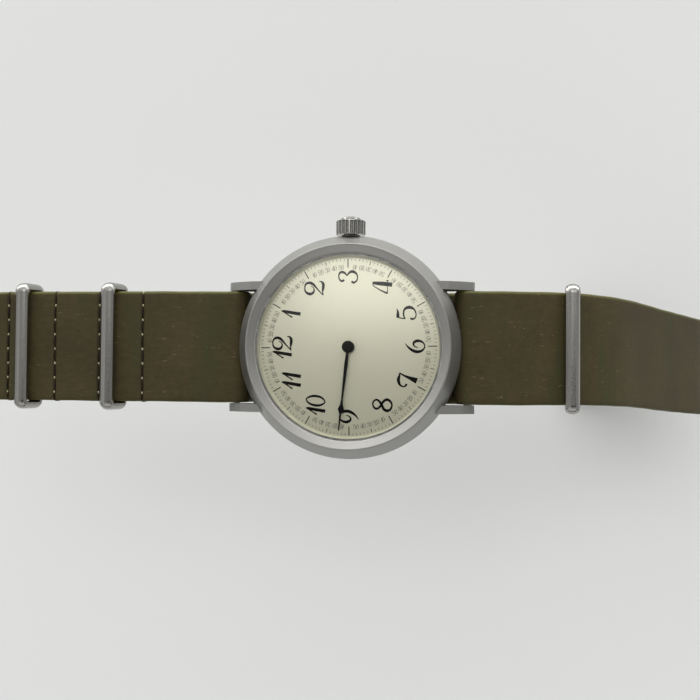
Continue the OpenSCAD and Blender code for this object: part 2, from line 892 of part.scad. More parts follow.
// A bridge plate on a foot along the movement's edge
module bridge(side) {
    translate([0, 0, bridge_z])
        linear_extrude(bridge_t)
            bridge_outline(side);
    translate([0, 0, bridge_top])
        linear_extrude(plate_z - bridge_top)
            difference() {
                bridge_outline(side);
                circle(r = plate_r - share(1.9));
            }
}

screw_r = 0.45;
screw_head_r = 0.8;
edge_r = plate_r - share(1.05);
bridge_screws = [for (a = [120, 165, 205, 262, 300, 340]) polar(edge_r, a)];
foot_screws = [cock_foot_at, polar(edge_r - share(0.55), 2)];

// Holes for the screws through a bridge and into the plate
module screw_holes(places, z0, z1) {
    for (p = places)
        at(p, z0)
            cylinder(r = screw_r, h = z1 - z0, $fn = 32);
}

module jewel_holes(places, z0) {
    for (p = places)
        at(p, z0)
            cylinder(r = jewel_r, h = jewel_t, $fn = 32);
}

// Clear holes for pivots past their jewels
module pivot_holes(places, z0, z1) {
    for (p = places)
        at(p, z0)
            cylinder(d = pivot_d + 2 * run_gap, h = z1 - z0, $fn = 32);
}

// Posts for the wheels and levers under the dial
posts = [minute_at, setting_at, lever_at, yoke_at];
post_r = 0.25;

// A rectangular cut with its corner at x, y and its sides a and b, as shares of the plate
module pit(x, y, a, b, z, h) {
    translate([share(x), share(y), z])
        cube([share(a), share(b), h]);
}

module main_plate() {
    color("gainsboro") {
        difference() {
            translate([0, 0, plate_z])
                cylinder(r = plate_r, h = plate_t);
            at(barrel_at, plate_z - 1)
                cylinder(r = barrel_mod * barrel_teeth / 2 + 0.3, h = 1.95);
            at(barrel_at, plate_z)
                cylinder(r = 0.5 + run_gap, h = 1.04, $fn = 48);
            at(centre_at, plate_z - 1)
                cylinder(r = pipe_r + 0.15, h = 5, $fn = 48);
            at(centre_at, plate_z - 1)
                cylinder(r = 1.15, h = 1.2, $fn = 48);
            translate([0, 0, pocket_z])
                cylinder(r = share(3.2), h = 2);
            at(minute_at, pocket_z)
                cylinder(r = share(2.65), h = 2);
            pit(-6.6, 4.2, 8.9, 7.6, pocket_z, 2);
            pit(-1.95, 7, 3.9, 4.45, plate_z - 1, 4);
            pit(-1.2, 5.6, 2.4, 2, plate_z - 1, 2.13);
            stem_bore(stem_d / 2 + run_gap, share(11), 2 * plate_r);
            at(pallet_at, plate_z - cut)
                cylinder(r = 1.6, h = 0.25);
            jewel_holes(plate_pivots, plate_z + 0.3);
            pivot_holes(plate_pivots, plate_z - 1, plate_top - 0.6);
            screw_holes(concat(bridge_screws, foot_screws), plate_z - 1, plate_z + 1.2);
        }
        for (p = posts)
            at(p, pocket_z - 0.15)
                cylinder(r = post_r, h = 0.8, $fn = 32);
    }
}

module barrel_bridge() {
    color("gainsboro")
        difference() {
            bridge(-1);
            at(barrel_at, bridge_z - 1)
                cylinder(r = 1.05 + run_gap, h = 3);
            jewel_holes([centre_at], bridge_top - jewel_t);
            pivot_holes([centre_at], bridge_z - 1, bridge_top + 1);
            pit(-1.95, 9.35, 3.9, 2.1, bridge_z - 1, 3);
            stem_bore(stem_d / 2 + run_gap, share(11), 2 * plate_r);
            at(crown_wheel_at, bridge_z - 1)
                cylinder(r = screw_r, h = 3, $fn = 32);
            at(click_at, bridge_z - 1)
                cylinder(r = 0.3, h = 3, $fn = 32);
            screw_holes([for (k = [0:2]) bridge_screws[k]], bridge_z - 1, plate_z + 1);
        }
    color("gainsboro")
        at(click_at, bridge_z - 0.35)
            cylinder(r = 0.3, h = 0.35 + bridge_t, $fn = 32);
}

module train_bridge() {
    color("gainsboro")
        difference() {
            bridge(1);
            jewel_holes(train_pivots, bridge_top - jewel_t);
            pivot_holes(train_pivots, bridge_z - 1, bridge_top + 1);
            screw_holes([for (k = [3:5]) bridge_screws[k]], bridge_z - 1, plate_z + 1);
            translate([escape_at[0] + share(1.7), share(-1.25), bridge_z - 1])
                cube([plate_r, plate_r, 5]);
        }
}

cock_t = 0.5;
cock_z = bridge_z - 0.35;

module balance_cock() {
    color("gainsboro")
        difference() {
            union() {
                translate([0, 0, cock_z])
                    linear_extrude(cock_t) {
                        at(balance_at)
                            circle(r = 1.5);
                        at(cock_foot_at)
                            rotate(heading(cock_foot_at, balance_at))
                                translate([0, -1])
                                    square([norm(balance_at - cock_foot_at), 2]);
                    }
                at(cock_foot_at, cock_z)
                    cylinder(r = 1.7, h = plate_z - cock_z);
            }
            jewel_holes([balance_at], cock_z + cock_t - jewel_t);
            pivot_holes([balance_at], cock_z - 1, cock_z + 1);
            screw_holes([cock_foot_at], cock_z - 1, plate_z + 1);
        }
}

module pallet_bridge() {
    foot = foot_screws[1];
    z = plate_z - 0.62;
    color("gainsboro")
        difference() {
            union() {
                translate([0, 0, z])
                    linear_extrude(0.22) {
                        at(pallet_at)
                            circle(r = 0.75);
                        at(pallet_at)
                            rotate(heading(pallet_at, foot))
                                translate([0, -0.5])
                                    square([norm(foot - pallet_at), 1]);
                    }
                at(foot, z)
                    cylinder(r = 1.1, h = plate_z - z);
            }
            pivot_holes([pallet_at], z - 1, z + 1);
            screw_holes([foot], z - 1, plate_z + 1);
        }
}

module jewels() {
    color("crimson") {
        for (p = concat([centre_at], train_pivots))
            at(p)
                ring(jewel_r, pivot_d / 2 + run_gap, bridge_top - jewel_t, bridge_top);
        at(balance_at)
            ring(jewel_r, pivot_d / 2 + run_gap, cock_z + cock_t - jewel_t, cock_z + cock_t);
        for (p = plate_pivots)
            at(p)
                ring(jewel_r, pivot_d / 2 + run_gap, plate_z + 0.3, plate_z + 0.3 + jewel_t);
    }
}

module screw(p, head_z, tip_z) {
    at(p)
        difference() {
            union() {
                translate([0, 0, head_z - 0.3])
                    cylinder(r = screw_head_r, h = 0.3, $fn = 48);
                translate([0, 0, head_z - cut])
                    cylinder(r = screw_r, h = tip_z - head_z, $fn = 32);
            }
            translate([-screw_head_r, -0.1, head_z - 0.31])
                cube([2 * screw_head_r, 0.2, 0.13]);
        }
}

module movement_screws() {
    color("steelblue") {
        for (p = bridge_screws)
            screw(p, bridge_z, plate_z + 1.15);
        screw(foot_screws[0], cock_z, plate_z + 1.15);
        screw(foot_screws[1], plate_z - 0.62, plate_z + 1.15);
        screw(crown_wheel_at, bridge_z - 0.3, bridge_top - 0.1);
    }
}

// Going train

module barrel() {
    r = drum_r;
    z0 = bridge_top + 0.4;
    top = plate_z + 0.85;
    color("goldenrod")
        at(barrel_at)
            difference() {
                union() {
                    translate([0, 0, z0])
                        cylinder(r = r, h = top - z0);
                    pinion(barrel_teeth, barrel_mod, 0, high_z - 0.1, high_z + 0.2);
                }
                translate([0, 0, z0 + 0.2])
                    cylinder(r = r - 0.35, h = top - z0 - 0.4);
                translate([0, 0, z0 - 1])
                    cylinder(r = 0.6 + run_gap, h = 5, $fn = 48);
            }
}

// A spiral leaf between two radii
module spiral(inner, outer, turns, t, z, h) {
    steps = 28;
    last = turns * steps;
    function r_at(k) = inner + (outer - inner) * k / last;
    translate([0, 0, z])
        linear_extrude(h)
            polygon(concat(
                [for (k = [0:last]) polar(r_at(k), 360 * k / steps)],
                [for (k = [last:-1:0]) polar(r_at(k) + t, 360 * k / steps)]
            ));
}

module mainspring() {
    color("lightsteelblue")
        at(barrel_at)
            spiral(1.3, drum_r - 0.5, 6, 0.12, bridge_top + 0.68, plate_z - bridge_top - 0.1);
}

module centre_wheel() {
    phase = mesh(heading(barrel_at, centre_at), barrel_teeth, 0, centre_pinion_teeth);
    color("goldenrod") {
        spoked_wheel(centre_teeth, centre_mod, 0, low_z, leaf_t, 1.2);
        pinion(centre_pinion_teeth, barrel_mod, phase, low_z + leaf_t, plate_z - 0.05);
        translate([0, 0, bridge_top - 0.5])
            cylinder(d = pivot_d, h = 0.8, $fn = 32);
        translate([0, 0, low_z - 0.07])
            cylinder(r = 0.5, h = 0.3, $fn = 32);
        translate([0, 0, low_z])
            cylinder(r = 0.28, h = pocket_z + 0.2 - low_z, $fn = 32);
    }
}

module third_wheel() {
    phase = mesh(third_bearing, centre_teeth, 0, third_pinion_teeth);
    color("goldenrod")
        at(third_at) {
            arbor();
            pinion(third_pinion_teeth, centre_mod, phase, bridge_top + 0.07, low_z + leaf_t + 0.1);
            spoked_wheel(third_teeth, third_mod, 0, high_z, leaf_t, 0.7);
        }
}

module fourth_wheel() {
    phase = mesh(fourth_bearing, third_teeth, 0, fourth_pinion_teeth);
    color("goldenrod")
        at(fourth_at) {
            arbor(0.22);
            pinion(fourth_pinion_teeth, third_mod, phase, high_z - 0.1, plate_z - 0.07);
            spoked_wheel(fourth_teeth, fourth_mod, 0, low_z, leaf_t, 0.7);
        }
}

module escape_wheel() {
    phase = mesh(escape_bearing, fourth_teeth, 0, escape_pinion_teeth);
    color("silver")
        at(escape_at) {
            arbor(0.17);
            pinion(escape_pinion_teeth, fourth_mod, phase, bridge_top + 0.07, low_z + leaf_t + 0.1);
            translate([0, 0, high_z])
                linear_extrude(leaf_t)
                    difference() {
                        polygon([for (k = [0:escape_teeth - 1]) each [
                            polar(escape_r - 0.5, (k - 0.2) * 360 / escape_teeth),
                            polar(escape_r, (k + 0.28) * 360 / escape_teeth),
                            polar(escape_r - 0.02, (k + 0.42) * 360 / escape_teeth),
                            polar(escape_r - 0.5, (k + 0.3) * 360 / escape_teeth)
                        ]]);
                        difference() {
                            circle(r = escape_r - 0.75);
                            circle(r = 0.5);
                            for (a = [0, 90])
                                rotate(a)
                                    square([2 * escape_r, 0.22], center = true);
                        }
                    }
        }
}

module pallet_fork() {
    reach = norm(balance_at - pallet_at) - 1.1;
    color("silver")
        at(pallet_at) {
            translate([0, 0, plate_z - 0.38])
                cylinder(r = 0.2, h = 0.5, $fn = 32);
            translate([0, 0, plate_z - 0.6])
                cylinder(d = pivot_d, h = 1.2, $fn = 32);
            translate([0, 0, high_z])
                linear_extrude(leaf_t) {
                    circle(r = 0.4);
                    rotate(heading(pallet_at, balance_at))
                        difference() {
                            translate([0, -0.14])
                                square([reach, 0.28]);
                            translate([reach - 0.35, -0.07])
                                square([1, 0.14]);
                        }
                    for (side = [-1, 1])
                        rotate(side > 0 ? -10 : 190)
                            translate([0, -0.13])
                                square([share(1.15), 0.26]);
                }
        }
}

module balance_wheel() {
    r = balance_r;
    z = cock_z + cock_t + 0.6;
    color("goldenrod")
        at(balance_at) {
            translate([0, 0, z])
                linear_extrude(0.35) {
                    difference() {
                        circle(r = r);
                        circle(r = r - 0.5);
                    }
                    for (a = [0, 60, 120])
                        rotate(a)
                            square([2 * r - 0.6, 0.35], center = true);
                    circle(r = 0.6);
                }
            translate([0, 0, cock_z + cock_t + 0.06])
                cylinder(r = 0.4, h = 0.6, $fn = 32);
            translate([0, 0, z])
                cylinder(r = 0.28, h = plate_z - z - 0.05, $fn = 32);
            translate([0, 0, cock_z + 0.15])
                cylinder(d = pivot_d, h = plate_z - cock_z + 0.5, $fn = 32);
        }
}

module hairspring() {
    color("lightsteelblue")
        at(balance_at)
            spiral(0.55, 2.6, 8, 0.06, cock_z + cock_t + 0.2, 0.2);
}

// Winding and setting

module winding_pinion() {
    color("silver")
        difference() {
            translate([0, share(9.5), stem_z])
                rotate([-90, 0, 0])
                    linear_extrude(share(1.7))
                        polygon(tooth_points(winding_teeth, 0.22, 90));
            stem_bore(stem_d / 2 + run_gap, share(8), share(13));
        }
}

module sliding_pinion() {
    color("silver")
        difference() {
            union() {
                stem_bore(1.1, share(6.9), share(7.7));
                stem_bore(0.85, share(7.65), share(8.25));
                stem_bore(1.1, share(8.2), share(9.1));
            }
            stem_bore(stem_d / 2, share(5), share(12));
        }
}

module crown_wheel() {
    color("silver")
        at(crown_wheel_at)
            difference() {
                translate([0, 0, bridge_z - 0.3])
                    linear_extrude(0.25)
                        polygon(tooth_points(crown_wheel_teeth, winding_mod, 0));
                translate([0, 0, bridge_z - 1])
                    cylinder(r = screw_r + run_gap, h = 2, $fn = 32);
            }
}

module ratchet_wheel() {
    bearing = heading(crown_wheel_at, barrel_at);
    phase = mesh(bearing, crown_wheel_teeth, 0, ratchet_teeth);
    color("silver")
        at(barrel_at) {
            translate([0, 0, bridge_z - 0.3])
                linear_extrude(0.25)
                    polygon(tooth_points(ratchet_teeth, winding_mod, phase));
            translate([0, 0, bridge_z - 0.1])
                cylinder(r = 1.05, h = bridge_t + 0.3, $fn = 48);
            translate([0, 0, bridge_top])
                cylinder(r = 0.6, h = 1, $fn = 48);
            translate([0, 0, bridge_top + 0.65])
                cylinder(r = 1.2, h = plate_z - bridge_top - 0.05, $fn = 48);
            translate([0, 0, bridge_top + 1])
                cylinder(r = 0.5, h = plate_z - bridge_top, $fn = 48);
        }
}

module click() {
    aim = heading(click_at, barrel_at);
    color("silver")
        at(click_at, bridge_z - 0.3)
            difference() {
                linear_extrude(0.25) {
                    circle(r = 0.7);
                    rotate(aim + 24)
                        polygon(share([[0, -0.4], [1.5, -0.3], [1.62, -0.5], [1.1, 0.45], [0, 0.5]]));
                }
                translate([0, 0, -1])
                    cylinder(r = 0.3 + run_gap, h = 3, $fn = 32);
            }
}

module click_spring() {
    color("lightsteelblue")
        at(click_at, bridge_z - 0.3)
            linear_extrude(0.3)
                rotate(heading(click_at, barrel_at) + 135)
                    difference() {
                        circle(r = 1.25);
                        circle(r = 1);
                        translate([-2, -2])
                            square([2.6, 4]);
                    }
}

module setting_wheel() {
    phase = mesh(setting_bearing, minute_teeth, minute_phase, setting_teeth);
    color("goldenrod")
        at(setting_at)
            difference() {
                pinion(setting_teeth, minute_mod, phase, pocket_z + 0.07, pocket_z + 0.27);
                cylinder(r = post_r + run_gap, h = 20, $fn = 32);
            }
}

module setting_lever() {
    color("silver")
        at(lever_at, pocket_z + 0.32)
            difference() {
                linear_extrude(0.2) {
                    circle(r = 0.7);
                    rotate(40)
                        translate([0, -0.4])
                            square([share(3), 0.8]);
                    rotate(200)
                        translate([0, -0.35])
                            square([share(2), 0.7]);
                }
                translate([0, 0, -1])
                    cylinder(r = post_r + run_gap, h = 3, $fn = 32);
            }
}

module yoke() {
    color("silver")
        at(yoke_at, pocket_z + 0.06)
            difference() {
                linear_extrude(0.2) {
                    circle(r = 0.65);
                    rotate(31)
                        translate([0, -0.25])
                            square([share(4.4), 0.5]);
                }
                translate([0, 0, -1])
                    cylinder(r = post_r + run_gap, h = 3, $fn = 32);
            }
}

// Motion work and the hand

minute_phase = mesh(minute_bearing, cannon_teeth, 0, minute_teeth);

module cannon_pinion() {
    color("silver")
        difference() {
            union() {
                pinion(cannon_teeth, minute_mod, 0, pocket_z + 0.05, pocket_z + 0.27);
                translate([0, 0, pocket_z + 0.2])
                    cylinder(r = pipe_r, h = hub_z - 0.5 - pocket_z, $fn = 48);
            }
            translate([0, 0, pocket_z - 1])
                cylinder(r = 0.28 + run_gap, h = 1.3, $fn = 32);
        }
}

module minute_wheel() {
    color("goldenrod")
        at(minute_at)
            difference() {
                union() {
                    pinion(minute_teeth, minute_mod, minute_phase, pocket_z + 0.07, pocket_z + 0.27);
                    pinion(minute_pinion_teeth, hour_mod, 0, pocket_z + 0.27, pocket_z + 0.6);
                }
                cylinder(r = post_r + run_gap, h = 20, $fn = 32);
            }
}

module hour_wheel() {
    phase = mesh(minute_bearing + 180, minute_pinion_teeth, 0, hour_teeth);
    color("goldenrod")
        difference() {
            union() {
                pinion(hour_teeth, hour_mod, phase, pocket_z + 0.38, pocket_z + 0.58);
                translate([0, 0, pocket_z + 0.38])
                    cylinder(r = pipe_hole_r - 0.25, h = hub_z - 0.25 - pocket_z - 0.38);
            }
            translate([0, 0, pocket_z])
                cylinder(r = pipe_r + run_gap, h = 5, $fn = 48);
        }
}

// One hand: hub, slim body, a kite and a needle tip
module hour_hand() {
    hand_len = flange_in_r - hand_inset;
    kite_at = hand_len - 3.85;
    // One edge, as distance from the middle and half the width there
    edge = [
        [-0.4, hand_w / 2], [0, hand_w * 0.38], [hub_d / 2, hand_w * 0.38], [hub_d / 2 + 2.2, hand_w / 2],
        [kite_at - 1.7, 0.15], [kite_at - 0.8, 0.23], [kite_at - 0.3, 0.42], [kite_at, 0.54],
        [kite_at + 0.3, 0.4], [kite_at + 0.9, 0.16], [hand_len - 0.2, 0.1], [hand_len, 0.03]
    ];
    color("black")
        rotate(180 - hand_angle)
            difference() {
                union() {
                    translate([0, 0, hub_z - 0.3])
                        linear_extrude(0.2)
                            polygon(concat(edge, [for (p = reversed(edge)) [p[0], -p[1]]]));
                    translate([0, 0, hub_z - 0.35])
                        cylinder(d = hub_d, h = 0.35);
                }
                translate([0, 0, hub_z - 1])
                    cylinder(r = pipe_hole_r - 0.25, h = 0.75);
            }
}

case_middle();
crown_tube();
bezel();
crystal();
crystal_gasket();
flange_ring();
dial();
case_back();
case_back_gasket();
movement_ring();
main_plate();
barrel_bridge();
train_bridge();
balance_cock();
pallet_bridge();
jewels();
movement_screws();
click_spring();
hairspring();
spring_bar_left();
spring_bar_right();
strap_main();
strap_under();
stitching();
bar_tip_left_upper();
bar_tip_left_lower();
bar_tip_right_upper();
bar_tip_right_lower();
crown();
crown_gasket();
winding_stem();
sliding_pinion();
winding_pinion();
crown_wheel();
ratchet_wheel();
click();
barrel();
mainspring();
centre_wheel();
third_wheel();
fourth_wheel();
escape_wheel();
pallet_fork();
balance_wheel();
hour_hand();
hour_wheel();
cannon_pinion();
minute_wheel();
setting_wheel();
setting_lever();
yoke();
keeper_near();
keeper_far();
end_ring();
buckle_bar();
buckle_frame();
buckle_tongue();
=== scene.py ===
"""Looks of a single-hand wristwatch on a one-piece leather strap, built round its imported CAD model.

Every length in this file is in millimetres unless its name or text says otherwise, and is turned
into Blender's metres where a mesh is made. The dial faces +Z, the crown points to +Y and 6 o'clock
lies at +X, as in the CAD model.
"""

import json
import logging
import math
import random
from collections.abc import Iterable, Sequence
from dataclasses import dataclass, field
from enum import Enum

import bmesh
import bpy
from mathutils import Matrix, Vector
from mathutils.kdtree import KDTree

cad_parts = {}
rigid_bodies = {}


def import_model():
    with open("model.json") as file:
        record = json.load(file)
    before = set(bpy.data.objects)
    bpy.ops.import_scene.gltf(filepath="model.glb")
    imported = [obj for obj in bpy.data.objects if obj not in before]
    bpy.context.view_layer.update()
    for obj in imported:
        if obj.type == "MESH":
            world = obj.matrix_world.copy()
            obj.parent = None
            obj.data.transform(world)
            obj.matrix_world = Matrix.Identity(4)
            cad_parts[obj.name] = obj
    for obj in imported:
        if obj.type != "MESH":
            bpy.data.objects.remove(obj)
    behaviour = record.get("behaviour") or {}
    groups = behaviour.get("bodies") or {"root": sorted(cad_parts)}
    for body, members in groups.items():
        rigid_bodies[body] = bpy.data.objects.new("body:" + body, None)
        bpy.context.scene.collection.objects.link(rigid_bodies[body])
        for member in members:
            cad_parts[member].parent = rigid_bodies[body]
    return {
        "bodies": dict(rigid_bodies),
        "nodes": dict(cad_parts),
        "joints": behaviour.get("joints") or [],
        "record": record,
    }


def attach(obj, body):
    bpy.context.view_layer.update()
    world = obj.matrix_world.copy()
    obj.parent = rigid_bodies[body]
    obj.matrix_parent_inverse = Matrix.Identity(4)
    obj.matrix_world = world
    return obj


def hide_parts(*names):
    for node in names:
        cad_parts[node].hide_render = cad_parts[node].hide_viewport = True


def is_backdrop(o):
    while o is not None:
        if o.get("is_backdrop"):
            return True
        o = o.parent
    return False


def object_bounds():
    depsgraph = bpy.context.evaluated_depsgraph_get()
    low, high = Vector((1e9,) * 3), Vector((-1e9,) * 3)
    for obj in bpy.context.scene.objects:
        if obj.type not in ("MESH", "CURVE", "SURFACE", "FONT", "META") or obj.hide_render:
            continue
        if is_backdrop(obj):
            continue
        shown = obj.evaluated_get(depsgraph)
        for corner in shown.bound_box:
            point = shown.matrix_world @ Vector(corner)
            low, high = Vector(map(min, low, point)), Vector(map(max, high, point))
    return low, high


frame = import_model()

LOG = logging.getLogger("watch")
MM = 0.001
Point2 = tuple[float, float]
Point3 = tuple[float, float, float]
Colour = tuple[float, float, float]


def srgb(red: int, green: int, blue: int) -> Colour:
    """Turn a colour of 0 to 255 as seen on a screen into the linear colour that a shader takes.

    Args:
        red: Red part.
        green: Green part.
        blue: Blue part.

    Returns:
        The linear colour.
    """
    parts = (red / 255, green / 255, blue / 255)
    return tuple(p / 12.92 if p <= 0.04045 else ((p + 0.055) / 1.055) ** 2.4 for p in parts)


def shade(colour: Colour, amount: float) -> Colour:
    """Return the colour made darker or lighter by a factor."""
    return tuple(min(1.0, part * amount) for part in colour)


class Socket:
    """A value in a material's node tree, which can be used in Python expressions."""

    def __init__(self, tree: bpy.types.NodeTree, socket: bpy.types.NodeSocket) -> None:
        """Wrap an output socket of a node in the tree."""
        self.tree = tree
        self.socket = socket

    def _math(self, operation: str, first: "Socket | float", second: "Socket | float") -> "Socket":
        """Add a Math node.

        Args:
            operation: The node's operation.
            first: Its first value or link.
            second: Its second value or link.

        Returns:
            The node's output.
        """
        node = self.tree.nodes.new("ShaderNodeMath")
        node.operation = operation
        for slot, value in zip(node.inputs, (first, second)):
            feed(self.tree, slot, value)
        return Socket(self.tree, node.outputs[0])

    def __add__(self, other: "Socket | float") -> "Socket":
        """Add."""
        return self._math("ADD", self, other)

    __radd__ = __add__

    def __sub__(self, other: "Socket | float") -> "Socket":
        """Subtract."""
        return self._math("SUBTRACT", self, other)

    def __rsub__(self, other: float) -> "Socket":
        """Subtract from a number."""
        return self._math("SUBTRACT", other, self)

    def __mul__(self, other: "Socket | float") -> "Socket":
        """Multiply."""
        return self._math("MULTIPLY", self, other)

    __rmul__ = __mul__

    def __truediv__(self, other: "Socket | float") -> "Socket":
        """Divide."""
        return self._math("DIVIDE", self, other)

    def __pow__(self, other: float) -> "Socket":
        """Raise to a power."""
        return self._math("POWER", self, other)

    def __abs__(self) -> "Socket":
        """Drop the sign."""
        return self._math("ABSOLUTE", self, 0.0)

    def at_most(self, other: "Socket | float") -> "Socket":
        """Return the smaller of this value and another."""
        return self._math("MINIMUM", self, other)

    def at_least(self, other: "Socket | float") -> "Socket":
        """Return the larger of this value and another."""
        return self._math("MAXIMUM", self, other)


def feed(tree: bpy.types.NodeTree, slot: bpy.types.NodeSocket, value: object) -> None:
    """Link an input of a node to a value in its tree, or set it.

    Args:
        tree: The node tree.
        slot: The input.
        value: A link, a number, a vector or a colour.
    """
    if isinstance(value, Socket):
        tree.links.new(value.socket, slot)
    elif isinstance(value, tuple) and slot.type == "RGBA":
        slot.default_value = (*value, 1.0)
    else:
        slot.default_value = value


class Nodes:
    """Adds nodes to a node tree."""

    def __init__(self, tree: bpy.types.NodeTree) -> None:
        """Take the tree."""
        self.tree = tree

    def node(
        self,
        kind: str,
        settings: dict[str, object] | None = None,
        inputs: dict[str | int, object] | None = None,
        output: str | int = 0,
    ) -> Socket:
        """Add a node of any kind.

        Args:
            kind: The node's type.
            settings: Its settings, set first.
            inputs: Values or links of its sockets, by name or number.
            output: Name or number of the wanted output.

        Returns:
            The wanted output.
        """
        made = self.tree.nodes.new(kind)
        for name, value in (settings or {}).items():
            setattr(made, name, value)
        for name, value in (inputs or {}).items():
            feed(self.tree, made.inputs[name], value)
        return Socket(self.tree, made.outputs[output])

    def band(self, value: Socket, low: float, high: float) -> Socket:
        """Map a value smoothly onto 0 to 1.

        Args:
            value: The value.
            low: Where it gives 0.
            high: Where it gives 1.

        Returns:
            The mapped value.
        """
        return self.node(
            "ShaderNodeMapRange",
            {"interpolation_type": "SMOOTHSTEP"},
            {"Value": value, "From Min": low, "From Max": high},
        )

    def mix(self, share: Socket | float, first: object, second: object) -> Socket:
        """Mix two colours. The node's sockets go by number, as their names repeat.

        Args:
            share: Share of the second colour.
            first: First colour or link.
            second: Second colour or link.

        Returns:
            The mixed colour.
        """
        return self.node(
            "ShaderNodeMix", {"data_type": "RGBA"}, {0: share, 6: first, 7: second}, output=2
        )

    def axis(self, name: str, of: Socket) -> Socket:
        """Return one part of a vector."""
        return self.node("ShaderNodeSeparateXYZ", inputs={0: of}, output=name)


class Shader(Nodes):
    """A material's node tree with its Principled shader."""

    def __init__(self, name: str) -> None:
        """Make a new material.

        Args:
            name: Its name.
        """
        self.material = bpy.data.materials.new(name)
        self.material.use_nodes = True
        super().__init__(self.material.node_tree)
        self.principled = self.tree.nodes["Principled BSDF"]
        self.place = self.node("ShaderNodeTexCoord", output="Object")

    def put(self, name: str, value: object) -> None:
        """Set or link a socket of the Principled shader.

        Args:
            name: The socket's name.
            value: A number, a colour or a link.
        """
        feed(self.tree, self.principled.inputs[name], value)

    def stretched(self, scale: Point3, turn: float = 0.0) -> Socket:
        """Return the object's coordinates, in millimetres, turned about Z and scaled.

        Args:
            scale: Scale along each axis.
            turn: Angle about Z, in degrees.

        Returns:
            The mapped coordinates.
        """
        return self.node(
            "ShaderNodeMapping",
            inputs={
                "Vector": self.place,
                "Rotation": (0.0, 0.0, math.radians(turn)),
                "Scale": tuple(part / MM for part in scale),
            },
        )

    def noise(
        self, size: float, detail: float = 2.0, rough: float = 0.5, scale: Point3 = (1, 1, 1)
    ) -> Socket:
        """Return a noise of 0 to 1.

        Args:
            size: Width of its grains in millimetres.
            detail: Number of finer layers.
            rough: Strength of the finer layers.
            scale: Scale along each axis. Under 1 draws the grains out along it.

        Returns:
            The noise's value.
        """
        return self.node(
            "ShaderNodeTexNoise",
            inputs={
                "Vector": self.stretched(tuple(part / size for part in scale)),
                "Scale": 1.0,
                "Detail": detail,
                "Roughness": rough,
            },
        )

    def cells(self, size: float, scale: Point3 = (1, 1, 1)) -> Socket:
        """Return a pattern of cells.

        Args:
            size: Width of a cell in millimetres.
            scale: Scale along each axis. Under 1 draws the cells out along it.

        Returns:
            Distance from the nearest cell's middle.
        """
        return self.node(
            "ShaderNodeTexVoronoi",
            inputs={"Vector": self.stretched(tuple(part / size for part in scale)), "Scale": 1.0},
            output="Distance",
        )

    def bump(self, height: Socket, depth: float, strength: float = 1.0) -> None:
        """Raise the surface by a height of 0 to 1.

        Args:
            height: The height.
            depth: Its full depth in millimetres.
            strength: Strength of the effect.
        """
        self.put(
            "Normal",
            self.node(
                "ShaderNodeBump",
                inputs={"Strength": strength, "Distance": depth * MM, "Height": height},
            ),
        )


# In the finishes below, patch, grain and the other plain numbers that name a marking are its width,
# and a pair is where the pattern's value starts to show the marking and where it shows it fully.


@dataclass(frozen=True)
class BlastedSteel:
    """Bead-blasted steel: an even grey with a very fine pebble and faint rub marks."""

    name: str = "blasted_steel"
    colour: Colour = srgb(163, 162, 159)
    rough: float = 0.42
    grain: float = 0.09
    wear: float = 0.05
    patch: float = 3.2
    scuff: float = 0.35
    scuff_cover: Point2 = (0.62, 0.72)
    dimple: float = 0.012

    def make(self) -> bpy.types.Material:
        """Make the finish's material.

        Returns:
            The material.
        """
        s = Shader(self.name)
        cloud = s.noise(self.patch, 3)
        grain = s.noise(self.grain, 1)
        rub = s.band(s.noise(self.scuff, 2, 0.6, (1, 0.12, 1)), *self.scuff_cover)
        s.put("Base Color", s.mix(cloud * 0.5 + grain * 0.5, shade(self.colour, 0.93), self.colour))
        s.put("Metallic", 1.0)
        s.put("Roughness", self.rough + (cloud - 0.5) * 0.08 - rub * self.wear)
        s.bump(grain, self.dimple, 0.5)
        return s.material


@dataclass(frozen=True)
class PolishedSteel:
    """Polished steel with hairlines too fine to feel, fingerprints, and painted shade that darkens
    its grooves.
    """

    name: str = "bright_steel"
    colour: Colour = srgb(205, 204, 200)
    rough: float = 0.14
    grime: float = 0.0
    smear: float = 1.6
    hair: float = 0.05
    groove: float = 0.5
    groove_open: Point2 = (0.98, 0.75)

    def make(self) -> bpy.types.Material:
        """Make the finish's material.

        Returns:
            The material.
        """
        s = Shader(self.name)
        smear = s.noise(self.smear, 3)
        hair = s.noise(self.hair, 1, 0.5, (1, 0.05, 1))
        base = s.mix(smear, shade(self.colour, 0.94), self.colour)
        if self.grime:
            # Ambient occlusion darkens the hollows of the grooves: painted shade.
            openness = s.node(
                "ShaderNodeAmbientOcclusion", {"samples": 8, "only_local": True},
                {"Distance": self.groove * MM}, output="AO",
            )
            shade_share = s.band(openness, *self.groove_open) * self.grime
            base = s.mix(shade_share, base, shade(self.colour, 0.12))
        s.put("Base Color", base)
        s.put("Metallic", 1.0)
        s.put("Roughness", self.rough + smear * 0.07 + hair * 0.04)
        s.bump(hair, 0.002, 0.3)
        return s.material


